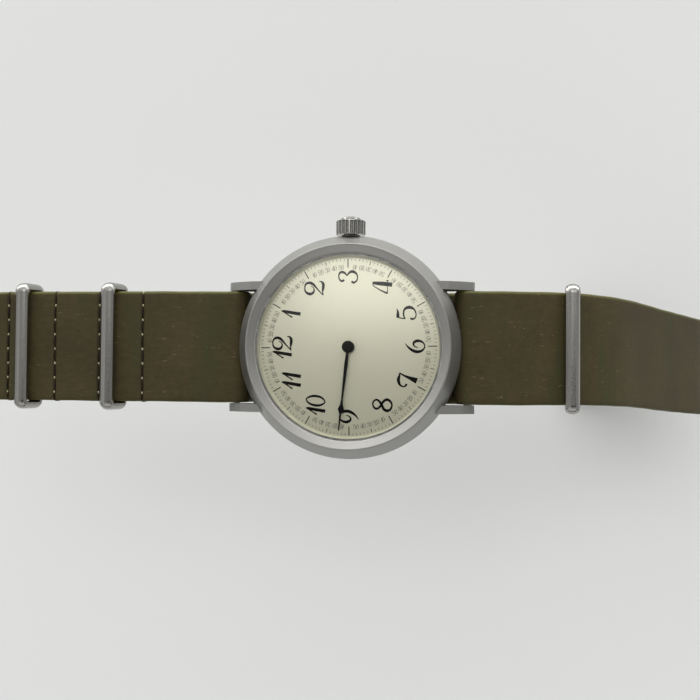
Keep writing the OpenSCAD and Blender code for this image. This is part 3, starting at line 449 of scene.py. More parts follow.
@dataclass(frozen=True)
class Plated:
    """A plated or tinted metal: rhodium, gilt brass, blued or spring steel."""

    name: str
    colour: Colour
    rough: float = 0.3
    stripe: float = 0.0
    stripe_turn: float = 40.0
    grain: float = 0.12
    patch: float = 1.1

    def make(self) -> bpy.types.Material:
        """Make the finish's material.

        Returns:
            The material.
        """
        s = Shader(self.name)
        cloud = s.noise(self.patch, 3)
        grain = s.noise(self.grain, 1)
        s.put("Base Color", s.mix(cloud * 0.6 + grain * 0.4, shade(self.colour, 0.88), self.colour))
        s.put("Metallic", 1.0)
        s.put("Roughness", self.rough + (cloud - 0.5) * 0.1)
        if self.stripe:
            across = s.stretched((1 / self.stripe,) * 3, self.stripe_turn)
            wave = s.node(
                "ShaderNodeTexWave",
                {"wave_type": "BANDS", "bands_direction": "X", "wave_profile": "SAW"},
                {"Vector": across, "Scale": 0.32, "Distortion": 0.0},
            )
            s.bump(wave * 0.7 + grain * 0.3, 0.03, 0.5)
        else:
            s.bump(grain, 0.006, 0.4)
        return s.material


@dataclass(frozen=True)
class Sapphire:
    """The crystal: clear, with a thin gloss that grows towards its rim and a few specks of dust."""

    name: str = "clear_crystal"
    gloss: float = 0.018
    rim: float = 0.35
    speck_gap: float = 1.7
    speck: float = 0.03
    dusty_patch: float = 6.0

    def make(self) -> bpy.types.Material:
        """Make the finish's material.

        Returns:
            The material.
        """
        s = Shader(self.name)
        specks = s.band(s.cells(self.speck_gap), self.speck, 0.0)
        dust = specks * s.band(s.noise(self.dusty_patch, 1), 0.5, 0.6)
        s.put("Base Color", (1.0, 1.0, 1.0))
        s.put("Metallic", 1.0)
        s.put("Roughness", 0.02 + dust * 0.3)
        facing = s.node("ShaderNodeLayerWeight", inputs={"Blend": 0.5}, output="Facing")
        s.put("Alpha", (facing**5 * self.rim + dust * 0.06 + self.gloss).at_most(self.rim))
        return s.material


@dataclass(frozen=True)
class Rubber:
    """A gasket's rubber or, where pale, its plastic."""

    name: str = "black_rubber"
    colour: Colour = srgb(38, 38, 38)
    rough: float = 0.55
    patch: float = 0.4
    grain: float = 0.08

    def make(self) -> bpy.types.Material:
        """Make the finish's material.

        Returns:
            The material.
        """
        s = Shader(self.name)
        cloud = s.noise(self.patch, 2)
        s.put("Base Color", s.mix(cloud, shade(self.colour, 0.8), shade(self.colour, 1.2)))
        s.put("Roughness", self.rough + cloud * 0.15)
        s.bump(s.noise(self.grain, 1), 0.008, 0.5)
        return s.material


@dataclass(frozen=True)
class DialLacquer:
    """Ivory lacquer over a silvered plate that is crowned a little, with a fine matt grain."""

    name: str = "ivory_lacquer"
    colour: Colour = srgb(233, 231, 207)
    reach: float = 16.0
    rise: float = 0.9
    silver: float = 0.5
    rough: float = 0.3
    patch: float = 7.0
    grain: float = 0.06

    def make(self) -> bpy.types.Material:
        """Make the finish's material.

        Returns:
            The material.
        """
        s = Shader(self.name)
        cloud = s.noise(self.patch, 2)
        grain = s.noise(self.grain, 1)
        s.put("Base Color", s.mix(cloud * 0.6 + grain * 0.4, shade(self.colour, 0.96), self.colour))
        s.put("Metallic", self.silver)
        s.put("Roughness", self.rough + grain * 0.08)
        x, y = (s.axis(name, s.place) / MM / self.reach for name in "XY")
        s.bump(1 - (x * x + y * y) + grain * 0.002, self.rise)
        return s.material


@dataclass(frozen=True)
class Ink:
    """Black printing ink or lacquer: nearly black, a little uneven, a soft gloss."""

    name: str = "black_ink"
    colour: Colour = srgb(14, 13, 12)
    rough: float = 0.5
    gloss: float = 0.1
    patch: float = 0.3

    def make(self) -> bpy.types.Material:
        """Make the finish's material.

        Returns:
            The material.
        """
        s = Shader(self.name)
        cloud = s.noise(self.patch, 2)
        s.put("Base Color", s.mix(cloud, shade(self.colour, 0.7), shade(self.colour, 1.3)))
        s.put("Roughness", self.rough + cloud * 0.08)
        s.put("Specular IOR Level", self.gloss)
        s.bump(cloud, 0.004, 0.3)
        return s.material


@dataclass(frozen=True)
class Ruby:
    """Polished synthetic ruby of a bearing jewel."""

    name: str = "ruby_jewel"
    colour: Colour = srgb(190, 30, 70)
    rough: float = 0.06
    coat: float = 0.6
    patch: float = 0.5

    def make(self) -> bpy.types.Material:
        """Make the finish's material.

        Returns:
            The material.
        """
        s = Shader(self.name)
        cloud = s.noise(self.patch, 2)
        s.put("Base Color", s.mix(cloud, shade(self.colour, 0.75), self.colour))
        s.put("Roughness", self.rough + cloud * 0.04)
        s.put("Coat Weight", self.coat)
        return s.material


@dataclass(frozen=True)
class Leather:
    """Waxed olive-brown leather: a soft grain, greener where it bends, scuffs, painted edges."""

    name: str = "waxed_leather"
    face: Colour = srgb(77, 67, 40)
    deep: Colour = srgb(61, 54, 33)
    green: Colour = srgb(58, 62, 36)
    paint: Colour = srgb(86, 84, 38)
    pale: Colour = srgb(132, 122, 90)
    half_width: float = 9.9
    # The paint band is shifted towards +Y, the lit crown side: that edge shows more bright paint as
    # painted highlight, the far edge less as painted shade.
    paint_lap: Point2 = (0.4, 0.1)
    paint_shift: float = 0.15
    rough: float = 0.62
    gloss: float = 0.22
    patch: float = 11.0
    crease: float = 4.5
    mottle: float = 1.3
    pore: float = 0.34
    fine: float = 0.11
    fibre: float = 0.2
    nick: float = 0.4
    nick_cover: Point2 = (0.66, 0.73)
    depth: float = 0.04

    def make(self) -> bpy.types.Material:
        """Make the finish's material.

        Returns:
            The material.
        """
        s = Shader(self.name)
        cloud = s.noise(self.patch, 2, 0.5)
        bend = s.noise(self.crease, 3, 0.5, (1, 0.22, 1))
        mottle = s.noise(self.mottle, 3, 0.6)
        grain = s.cells(self.pore, (1, 0.8, 1))
        fine = s.noise(self.fine, 2)
        fibre = s.noise(self.fibre, 2, 0.6, (0.1, 1, 1))
        nick = s.band(s.noise(self.nick, 2, 0.6, (0.22, 1, 1)), *self.nick_cover)
        nick = nick * s.band(cloud, 0.42, 0.6)
        side = s.node("ShaderNodeAttribute", {"attribute_name": "across"}, output="Fac")
        # The shift paints light on the crown-side edge and shade on the other edge.
        across = abs(side + self.paint_shift)
        lap = (self.half_width - inset for inset in self.paint_lap)
        edge = s.band(across + (mottle - 0.5) * 0.2, *lap)
        tone = s.band(cloud * 0.35 + mottle * 0.3 + fibre * 0.35, 0.34, 0.66)
        base = s.mix(tone, self.deep, self.face)
        tinted = s.mix(s.band(bend + (cloud - 0.5) * 0.4, 0.46, 0.72) * 0.55, base, self.green)
        marked = s.mix(nick * 0.5, tinted, self.pale)
        s.put("Base Color", s.mix(edge * 0.85, marked, self.paint))
        s.put("Roughness", self.rough + (mottle - 0.5) * 0.12 - nick * 0.1 - edge * 0.12)
        s.put("Specular IOR Level", self.gloss)
        s.bump(grain * 0.3 + fine * 0.3 + fibre * 0.4, self.depth, 0.55)
        return s.material


@dataclass(frozen=True)
class Thread:
    """Waxed sewing thread with the turns of its ply."""

    name: str = "thread_painted_glint"
    colour: Colour = srgb(200, 192, 160)
    rough: float = 0.6
    gloss: float = 0.2
    ply: float = 1.4
    fuzz: float = 0.06
    depth: float = 0.03

    def make(self) -> bpy.types.Material:
        """Make the finish's material.

        Returns:
            The material.
        """
        s = Shader(self.name)
        ply = s.node(
            "ShaderNodeTexWave",
            {"wave_type": "BANDS", "bands_direction": "DIAGONAL"},
            {"Vector": s.stretched((1, 1, 1)), "Scale": self.ply, "Distortion": 0.4},
        )
        fuzz = s.noise(self.fuzz, 2)
        s.put("Base Color", s.mix(ply * 0.6 + fuzz * 0.4, shade(self.colour, 0.62), self.colour))
        s.put("Roughness", self.rough + fuzz * 0.2)
        s.put("Specular IOR Level", self.gloss)
        s.bump(ply, self.depth, 0.7)
        return s.material


MADE: dict[str, bpy.types.Material] = {}


class Finish(Enum):
    """Every finish on the watch, by the record's material slot and its maker."""

    CASE = ("case_steel", BlastedSteel())
    RING = (
        "case_steel",
        BlastedSteel("ring_steel", srgb(168, 166, 162), rough=0.24, grain=0.07, wear=0.0),
    )
    POLISHED = ("polished_steel", PolishedSteel())
    # The crown's flutes are darkened in their hollows: painted shade.
    CROWN = (
        "polished_steel",
        PolishedSteel("crown_steel", srgb(182, 181, 177), rough=0.18, grime=1.0),
    )
    # The flange's colour is raised above the other polished steel to stand in for its lit top edge:
    # painted highlight.
    FLANGE = ("polished_steel", PolishedSteel("flange_steel_painted_highlight", srgb(222, 222, 212), rough=0.36))
    CRYSTAL = ("crystal", Sapphire())
    GASKET = ("gasket", Rubber())
    CRYSTAL_GASKET = ("gasket", Rubber("crystal_gasket", srgb(205, 205, 200)))
    DIAL = ("dial", DialLacquer())
    INK = ("hand", Ink())
    FINE_INK = ("hand", Ink("fine_ink", srgb(88, 86, 76), rough=0.6))
    HAND = ("hand", Ink("hand_lacquer", srgb(16, 15, 15), rough=0.3))
    BRASS = ("brass", Plated("gilt_brass", srgb(206, 168, 96), rough=0.28))
    RHODIUM = ("rhodium", Plated("rhodium_plate", srgb(206, 205, 202), rough=0.28, stripe=1.3))
    BLUED = ("blued_steel", Plated("blued_screw", srgb(46, 66, 140), rough=0.2))
    SPRING = ("spring_steel", Plated("spring_temper", srgb(150, 156, 168), rough=0.25))
    RUBY = ("ruby", Ruby())
    LEATHER = ("leather", Leather())
    # The pale thread's colour stands in for glints on the dark thread: painted highlight.
    THREAD = ("thread", Thread())
    DARK_THREAD = ("thread", Thread("dark_thread", srgb(38, 28, 18)))

    @property
    def slot(self) -> str:
        """Return the record's material slot."""
        return self.value[0]

    def material(self) -> bpy.types.Material:
        """Give the finish's material, made on its first use.

        Returns:
            The material.
        """
        maker = self.value[1]
        if maker.name not in MADE:
            MADE[maker.name] = maker.make()
        return MADE[maker.name]


@dataclass
class Piece:
    """Mesh data of one piece, in millimetres, before it becomes a Blender object."""

    name: str
    corners: list[Point3] = field(default_factory=list)
    faces: list[tuple[int, ...]] = field(default_factory=list)

    def add(self, corners: Iterable[Sequence[float]], faces: Iterable[Sequence[int]]) -> None:
        """Add corners, and faces that count from the first of them.

        Args:
            corners: The new corners.
            faces: The new faces.
        """
        start = len(self.corners)
        self.corners += [tuple(c) for c in corners]
        self.faces += [tuple(start + i for i in f) for f in faces]

    def tube(self, rings: Sequence[Sequence[Sequence[float]]]) -> None:
        """Add a skin over rings of corners, with flat ends.

        Args:
            rings: Rings that each have the same number of corners.
        """
        sides = len(rings[0])
        last = (len(rings) - 1) * sides
        faces = [
            (a + k, a + (k + 1) % sides, a + sides + (k + 1) % sides, a + sides + k)
            for a in range(0, last, sides)
            for k in range(sides)
        ]
        faces += [tuple(reversed(range(sides))), tuple(range(last, last + sides))]
        self.add([c for ring in rings for c in ring], faces)

    def mesh(self) -> bpy.types.Mesh:
        """Turn the piece into a Blender mesh in metres, with its faces outwards.

        Returns:
            The mesh.
        """
        mesh = bpy.data.meshes.new(self.name)
        mesh.from_pydata([[c * MM for c in p] for p in self.corners], [], self.faces)
        bm = bmesh.new()
        bm.from_mesh(mesh)
        bmesh.ops.recalc_face_normals(bm, faces=bm.faces)
        bm.to_mesh(mesh)
        bm.free()
        return mesh

    def cut_by(self, cutters: Sequence["Piece"]) -> bpy.types.Mesh:
        """Return the piece's mesh with other pieces cut out of it.

        Args:
            cutters: The pieces to cut away.

        Returns:
            The cut mesh.
        """
        tool = Piece("cutter")
        for cutter in cutters:
            tool.add(cutter.corners, cutter.faces)
        pair = [bpy.data.objects.new(part.name, part.mesh()) for part in (self, tool)]
        for made in pair:
            bpy.context.scene.collection.objects.link(made)
        boolean = pair[0].modifiers.new("cut", "BOOLEAN")
        boolean.operation, boolean.solver, boolean.object = "DIFFERENCE", "EXACT", pair[1]
        graph = bpy.context.evaluated_depsgraph_get()
        mesh = bpy.data.meshes.new_from_object(pair[0].evaluated_get(graph))
        for made in pair:
            bpy.data.objects.remove(made)
        return mesh

    def finished(
        self,
        body: str,
        finish: Finish,
        smooth: float | None,
        replaces: Sequence[str] = (),
        cutters: Sequence["Piece"] = (),
    ) -> bpy.types.Object:
        """Make the Blender object, dress it and let it ride on a body.

        Args:
            body: The CAD body that it rides on.
            finish: Its finish.
            smooth: Angle in degrees under which edges are smooth, or None for flat faces.
            replaces: CAD nodes that it stands for.
            cutters: Pieces that are cut out of it.

        Returns:
            The new object.
        """
        mesh = self.cut_by(cutters) if cutters else self.mesh()
        mesh.name = self.name
        bm = bmesh.new()
        bm.from_mesh(mesh)
        for edge in bm.edges:
            if smooth is not None and len(edge.link_faces) == 2:
                edge.smooth = edge.calc_face_angle(0.0) < math.radians(smooth)
        for face in bm.faces:
            face.smooth = smooth is not None
        bm.to_mesh(mesh)
        bm.free()
        made = bpy.data.objects.new(self.name, mesh)
        bpy.context.scene.collection.objects.link(made)
        mesh.materials.clear()
        mesh.materials.append(finish.material())
        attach(made, body)
        finish.slot
        if replaces:
            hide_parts(*replaces)
        return made


@dataclass(frozen=True)
class StrapPlan:
    """Sizes of the strap and the lines that its two lengths follow, seen from the side.

    Corners are given as x, z and the radius that rounds them.
    """

    # The two leathers and the runs over the spring bars and under the case.
    width: float = 20.0
    thick: float = 1.6
    under: float = 1.3
    gap: float = 0.06
    over_z: float = 7.1
    main_z: float = 2.25
    dive_x: float = 19.15
    dive_r: float = 1.6
    # The free end: its arc as round a wrist, its straight run and its curl.
    arc_x: float = 20.95
    wrist_r: float = 35.2
    drop_angle: float = 55.0
    straight: float = 30.0
    curl_r: float = 24.0
    curl_turn: float = 95.0
    curl_len: float = 62.0
    # The other end: its slope down to the buckle, and the fold round the buckle's bar.
    slope_x: float = 46.0
    buckle_x: float = 75.0
    buckle_drop: float = 1.89
    fold_r: float = 1.65
    fold_reach: float = 5.0
    fold_step: float = 2.6
    step_r: float = 2.0
    slope_r: float = 40.0
    main_lap: float = 6.2
    # The rings and the leather's pockets round their lower bars.
    pocket_r: float = 1.45
    pocket_mouth: float = 2.2
    pocket_floor: float = 0.65
    pocket_soft: float = 1.0
    ring_drop: float = 1.75
    ring_lift: float = 1.3
    ring_rise: float = 4.8
    near_ring_x: float = 43.85
    far_ring_x: float = 60.3
    end_ring_x: float = 41.6
    # The under length, with its fold round the end ring and its sewn return.
    end_gap: float = 0.3
    end_lean: float = 1.74
    under_lap: Point2 = (-3.9, 6.6)
    under_lap_r: float = 3.0
    under_flat_x: float = -22.25
    under_flat_r: float = 8.0
    under_bend_r: float = 10.0
    return_r: float = 1.2
    return_step: float = 4.5
    return_lap: float = 8.0
    # The holes, and the slot for the buckle's tongue.
    hole_count: int = 6
    hole_pitch: float = 6.0
    hole_first: float = 24.0
    hole_r: float = 1.0
    slot_w: float = 3.2
    slot_ends: Point2 = (2.6, -5.4)
    slot_end_r: float = 1.2
    slot_cut: Point2 = (-4.0, 6.0)
    # The rows of stitches, and where the tail starts to wander sideways.
    stitch_pitch: float = 2.63
    stitch_shift: float = -0.5
    near_rows: Point2 = (-3.0, 5.05)
    far_rows: Point2 = (-4.2, 4.95)
    sway_x: float = 39.0

    @property
    def near_bar(self) -> float:
        """Return where the lower bar of the ring near the watch lies."""
        return self._lean - self.near_ring_x

    @property
    def far_bar(self) -> float:
        """Return where the lower bar of the far ring lies."""
        return self._lean - self.far_ring_x

    @property
    def _lean(self) -> float:
        """Return how far a ring leans over its height."""
        return math.sqrt(self.ring_rise**2 - (self.thick + self.ring_lift + self.ring_drop) ** 2)

    @property
    def slope(self) -> float:
        """Return the fall of the top run beyond the near ring."""
        return self.buckle_drop / (self.buckle_x + self.fold_r - self.slope_x)

    @property
    def buckle_z(self) -> float:
        """Return the height of the buckle's bar."""
        return self.over_z - self.buckle_drop - self.fold_r

    @property
    def rows(self) -> tuple[float, ...]:
        """Return where the rows of stitches cross the top run."""
        near = (self.near_bar + step for step in self.near_rows)
        return (*near, *(self.far_bar + step for step in self.far_rows))

    def top_z(self, x: float) -> float:
        """Return the height of the top run's middle line."""
        return self.over_z + self.slope * min(0.0, x + self.slope_x)

    def pocket(self, x: float, thick: float, way: int) -> list[Point3]:
        """Return the corners of a pocket round a ring's lower bar.

        Args:
            x: Where the bar lies.
            thick: Thickness of the leather.
            way: Direction of the line along X.

        Returns:
            Four corners.
        """
        deep = self.ring_drop + self.pocket_r - self.gap
        wide, low = self.pocket_mouth + thick / 2, self.pocket_floor + thick / 2
        drop = (self.thick + thick) / 2 + self.gap
        return [
            (x + way * along, self.top_z(x + way * along) - drop + down, self.pocket_soft)
            for along, down in ((-wide, 0.0), (-low, -deep), (low, -deep), (wide, 0.0))
        ]

    def main(self) -> list[Point3]:
        """Lay out the main length, from its folded end to the tail.

        Returns:
            The line's corners.
        """
        fold_z = self.buckle_z - self.fold_r
        ply = self.thick + self.gap
        fall = math.radians(self.drop_angle)
        after = fall + math.radians(self.curl_turn)
        reach = self.wrist_r * math.tan(fall / 2)
        bend = Vector((self.arc_x + reach, self.over_z))
        turn = self.curl_r * math.tan(math.radians(self.curl_turn) / 2)
        curl = bend + Vector((math.cos(fall), -math.sin(fall))) * (reach + self.straight + turn)
        rest = turn + self.curl_len - self.curl_r * math.radians(self.curl_turn)
        end = curl + Vector((math.cos(after), -math.sin(after))) * rest
        start, back = self.far_bar + self.main_lap, self.fold_reach - self.buckle_x
        edge = -self.buckle_x - self.fold_r
        return [
            (start, self.top_z(start) - ply, 0.0),
            *self.pocket(self.far_bar, self.thick, -1),
            (back, self.top_z(back) - ply, self.step_r),
            (self.fold_step - self.buckle_x, fold_z, self.step_r),
            (edge, fold_z, self.fold_r),
            (edge, self.buckle_z + self.fold_r, self.fold_r),
            (-self.slope_x, self.over_z, self.slope_r),
            (-self.dive_x, self.over_z, self.dive_r),
            (-self.dive_x, self.main_z, self.dive_r),
            (self.dive_x, self.main_z, self.dive_r),
            (self.dive_x, self.over_z, self.dive_r),
            (bend.x, bend.y, self.wrist_r),
            (curl.x, curl.y, self.curl_r),
            (end.x, end.y, 0.0),
        ]

    def lower(self) -> list[Point3]:
        """Lay out the under length, from the near ring to its sewn return.

        Returns:
            The line's corners.
        """
        rho = self.wrist_r - self.thick / 2 - self.end_gap - self.under - self.pocket_r
        angle = math.asin((self.end_ring_x - self.end_lean - self.arc_x) / rho)
        normal = Vector((math.sin(angle), math.cos(angle)))
        along = Vector((math.cos(angle), -math.sin(angle)))
        bar = Vector((self.arc_x, self.over_z - self.wrist_r)) + normal * rho
        fold = self.pocket_r + self.under / 2
        over, below = bar + normal * fold, bar - normal * fold
        mid, back = self.under / 2, self.under + self.gap
        bend_x = below.x - (mid - below.y) / math.tan(angle)
        ply = self.over_z - self.thick / 2 - self.gap - mid
        start, rise = (self.near_bar + step for step in self.under_lap)
        inner_x = bend_x + back * math.tan(angle / 2)
        return [
            (start, ply, 0.0),
            *self.pocket(self.near_bar, self.under, 1),
            (rise, ply, self.under_lap_r),
            (self.under_flat_x, mid, self.under_flat_r),
            (bend_x, mid, self.under_bend_r),
            (*(below + along * fold), fold),
            (*(over + along * fold), fold),
            (*(over - along), self.return_r),
            (*(below - along * self.return_step + normal * back), self.step_r),
            (inner_x, mid + back, self.under_bend_r + back),
            (bend_x - self.return_lap, mid + back, 0.0),
        ]


class Track:
    """A rounded line in the XZ plane, measured along its length.

    An arc's chords leave it by chord_gap at most, turn by chord_turn at most, and two points of
    the line lie more than least_step apart.
    """

    chord_gap = 0.004
    chord_turn = math.radians(7)
    least_step = 0.02

    def __init__(self, corners: Sequence[Point3]) -> None:
        """Round the corners.

        Args:
            corners: Corners as x, z and radius.
        """
        rounded = [Vector(corners[0][:2])]
        for before, at, after in zip(corners, corners[1:], corners[2:]):
            rounded += self._arc(Vector(before[:2]), at, Vector(after[:2]))
        rounded.append(Vector(corners[-1][:2]))
        self.points = rounded[:1]
        for point in rounded[1:]:
            if (point - self.points[-1]).length > self.least_step:
                self.points.append(point)
        self.lengths = [0.0]
        for a, b in zip(self.points, self.points[1:]):
            self.lengths.append(self.lengths[-1] + (b - a).length)

    def _arc(self, before: Vector, at: Point3, after: Vector) -> list[Vector]:
        """Return the points of the arc that rounds a corner.

        Args:
            before: Previous corner.
            at: The corner with its radius.
            after: Next corner.

        Returns:
            Points from the arc's start to its end.
        """
        middle, radius = Vector(at[:2]), at[2]
        u, v = (before - middle).normalized(), (after - middle).normalized()
        turn = math.pi - math.acos(max(-1.0, min(1.0, u.dot(v))))
        side = 1 if -u.x * v.y + u.y * v.x > 0 else -1
        start = middle + u * radius * math.tan(turn / 2)
        centre = start + Vector((u.y, -u.x)) * side * radius
        first = math.atan2(start.y - centre.y, start.x - centre.x)
        chord = min(self.chord_turn, 2 * math.acos(1 - self.chord_gap / radius))
        steps = max(1, math.ceil(turn / chord))
        return [
            centre + Vector((math.cos(a), math.sin(a))) * radius
            for a in (first + side * turn * k / steps for k in range(steps + 1))
        ]

    @property
    def length(self) -> float:
        """Return the whole length."""
        return self.lengths[-1]

    def normal(self, index: int) -> Vector:
        """Find the direction square to the line at one of its points.

        Args:
            index: The point's number.

        Returns:
            The direction.
        """
        last = len(self.points) - 1
        t = (self.points[min(index + 1, last)] - self.points[max(index - 1, 0)]).normalized()
        return Vector((-t.y, t.x))

    def place(self, along: float) -> tuple[Vector, Vector]:
        """Return the point and the normal at a distance along the line.

        Args:
            along: Distance from the start.

        Returns:
            The point and the normal.
        """
        i = next((k for k, s in enumerate(self.lengths[1:]) if s >= along), len(self.lengths) - 2)
        share = (along - self.lengths[i]) / (self.lengths[i + 1] - self.lengths[i])
        share = max(0.0, min(1.0, share))
        point = self.points[i].lerp(self.points[i + 1], share)
        return point, self.normal(i).lerp(self.normal(i + 1), share).normalized()

    def on_top(self, x: float) -> float:
        """Find the line's highest crossing of x.

        Args:
            x: The place.

        Returns:
            How far along the line the crossing lies.
        """
        best = (-math.inf, 0.0)
        for i, (a, b) in enumerate(zip(self.points, self.points[1:])):
            if min(a.x, b.x) <= x <= max(a.x, b.x) and a.x != b.x:
                share = (x - a.x) / (b.x - a.x)
                best = max(best, (a.lerp(b, share).y, self.lengths[i] + share * (b - a).length))
        return best[1]

    def stops(self, step: float, extra: Iterable[float] = ()) -> list[float]:
        """Return distances along the line, dense enough for a smooth skin.

        Args:
            step: Largest distance between two of them.
            extra: Distances that must be among them.

        Returns:
            The distances in order.
        """
        raw = sorted({*self.lengths, *(s for s in extra if 0 <= s <= self.length)})
        found = [raw[0]]
        for s in raw[1:]:
            gap = s - found[-1]
            if gap < self.least_step:
                continue
            count = math.ceil(gap / step)
            found += [found[-1] + gap * k / count for k in range(1, count + 1)]
        return found


@dataclass(frozen=True)
class Sway:
    """How far the tail wanders sideways where it hangs free, as a soft strap does."""

    start: float
    end: float
    peak: float = -2.65
    rise: float = 58.0

    def at(self, along: float) -> float:
        """Find the sideways shift at a distance along the line.

        Args:
            along: Distance from the start.

        Returns:
            The shift.
        """
        if not self.start < along < self.end:
            return 0.0
        t, fall = along - self.start, self.end - self.start - self.rise
        share = t / self.rise if t < self.rise else 1 - (t - self.rise) / fall
        return self.peak * (1 - math.cos(math.pi * share)) / 2


@dataclass
class Strip:
    """A strip of leather along a line, with rounded, slightly wandering edges and grooves."""

    track: Track
    width: float
    thick: float
    grooves: Sequence[float] = ()
    round_end: float = 0.0
    sway: Sway = Sway(0.0, 0.0)
    # The grooves, the edges' rounding and wander, and how finely the skin is laid out.
    groove_deep: float = 0.2
    groove_half: float = 0.55
    groove_step: float = 0.11
    groove_at_edge: float = 0.8
    edge: float = 0.6
    edge_share: float = 0.33
    wander: float = 0.045
    least_half: float = 0.75
    top_columns: int = 26
    under_columns: int = 8
    step: float = 1.1
    tip: float = 0.028
    mark_step: float = 0.6

    def groove(self, along: float) -> float:
        """Return the depth of the grooves at a distance along the line."""
        near = min((abs(along - s) for s in self.grooves), default=math.inf)
        return self.groove_deep * math.cos(min(1.0, near / self.groove_half) * math.pi / 2) ** 2

    def half(self, along: float, side: int) -> float:
        """Return the distance from the middle to one edge.

        Args:
            along: Distance along the line.
            side: 1 or -1 for the edge.

        Returns:
            The half width.
        """
        # A slow and a quicker wave, out of step between the two edges.
        wave = 0.6 * math.sin(along * 0.31 + side * 1.7) + 0.4 * math.sin(along * 0.83 + side)
        wide = self.width / 2 - self.wander * (1 + wave)
        left = self.track.length - along
        if left < self.round_end:
            wide = min(wide, math.sqrt(self.round_end**2 - (self.round_end - left) ** 2))
        return max(wide, self.least_half)

    def section(self, along: float) -> list[Point2]:
        """Return the outline of the strip across the line, as y and height.

        Args:
            along: Distance along the line.

        Returns:
            The outline's corners.
        """
        edge, tall, soft = self.edge, self.thick / 2, self.thick * self.edge_share
        left, right = (self.half(along, side) - edge for side in (-1, 1))
        flat, dent = right + left, self.groove(along)
        dip = dent * self.groove_at_edge
        quarter = [math.radians(a) for a in range(18, 91, 18)]
        top, under = self.top_columns, self.under_columns
        outline = [(-left + flat * k / top, tall - dent) for k in range(top + 1)]
        for a in quarter:
            outline.append((right + edge * math.sin(a), tall - soft + soft * math.cos(a) - dip))
        for a in quarter:
            outline.append((right + edge * math.cos(a), -tall + soft - soft * math.sin(a)))
        outline += [(right - flat * k / under, -tall) for k in range(1, under + 1)]
        for a in quarter:
            outline.append((-left - edge * math.sin(a), -tall + soft - soft * math.cos(a)))
        for a in quarter[:-1]:
            outline.append((-left - edge * math.cos(a), tall - soft + soft * math.sin(a) - dip))
        return outline

    def build(self, name: str) -> Piece:
        """Return the strip's piece.

        Args:
            name: The piece's name.

        Returns:
            The piece.
        """
        extra = [s + d * self.groove_step for s in self.grooves for d in range(-6, 7)]
        end = self.track.length
        if self.round_end:
            turns = (math.radians(a) for a in range(4, 91, 4))
            extra += [end - self.round_end * (1 - math.cos(a)) for a in turns]
        rings = []
        for s in self.track.stops(self.step, extra):
            if self.round_end and end - s < self.tip:
                continue
            point, normal = self.track.place(s)
            shift = self.sway.at(s)
            rings.append([
                (point.x + normal.x * h, y + shift, point.y + normal.y * h)
                for y, h in self.section(s)
            ])
        piece = Piece(name)
        piece.tube(rings)
        return piece

    def mark(self, mesh: bpy.types.Mesh) -> None:
        """Store on a mesh how far each of its corners lies from the strip's middle line.

        Args:
            mesh: The strip's mesh, in metres.
        """
        stops = self.track.stops(self.mark_step)
        tree = KDTree(len(stops))
        for i, along in enumerate(stops):
            point = self.track.place(along)[0]
            tree.insert((point.x, point.y, 0.0), i)
        tree.balance()
        values = []
        for vertex in mesh.vertices:
            place = vertex.co / MM
            nearest = tree.find((place.x, place.z, 0.0))[1]
            values.append(place.y - self.sway.at(stops[nearest]))
        mesh.attributes.new("across", "FLOAT", "POINT").data.foreach_set("value", values)


def around(sides: int) -> list[float]:
    """Return the angles of a regular polygon's corners."""
    return [math.tau * k / sides for k in range(sides)]


def lathe(profile: Sequence[Point2], axis: Matrix) -> Piece:
    """Return a solid turned about an axis.

    Args:
        profile: Radius and height of each ring of corners.
        axis: Places the axis, which is its own Z, in millimetres.

    Returns:
        The solid.
    """
    piece = Piece("turned")
    piece.tube([
        [tuple(axis @ Vector((r * math.cos(a), r * math.sin(a), h))) for a in around(40)]
        for r, h in profile
    ])
    return piece


def thread(path: Sequence[Point3], radius: float, piece: Piece) -> None:
    """Add a round thread along a path, with tapered ends.

    Args:
        path: Middle points.
        radius: Its radius.
        piece: The piece that it is added to.
    """
    points = [Vector(p) for p in path]
    last, taper = len(points) - 1, 0.45
    # No thread runs this way, so it always gives a direction across.
    never_along = Vector((1.0, 0.0, 0.13))
    rings = []
    for i, point in enumerate(points):
        along = (points[min(i + 1, last)] - points[max(i - 1, 0)]).normalized()
        across = along.cross(never_along).normalized()
        other = along.cross(across)
        r = radius * (taper if i in (0, last) else 1.0)
        rings.append([
            tuple(point + across * r * math.cos(a) + other * r * math.sin(a)) for a in around(8)
        ])
    piece.tube(rings)


@dataclass(frozen=True)
class Row:
    """A row of stitches across the strap, by its middle and the way up there."""

    point: Vector
    normal: Vector

    def lifted(self, height: float, y: float, slip: float = 0.0) -> Point3:
        """Return a place in the row.

        Args:
            height: Height over the leather's middle line.
            y: Distance across the strap.
            slip: Shift along the strap.

        Returns:
            The place.
        """
        x = self.point.x + slip + self.normal.x * height
        return (x, y, self.point.y + self.normal.y * height)


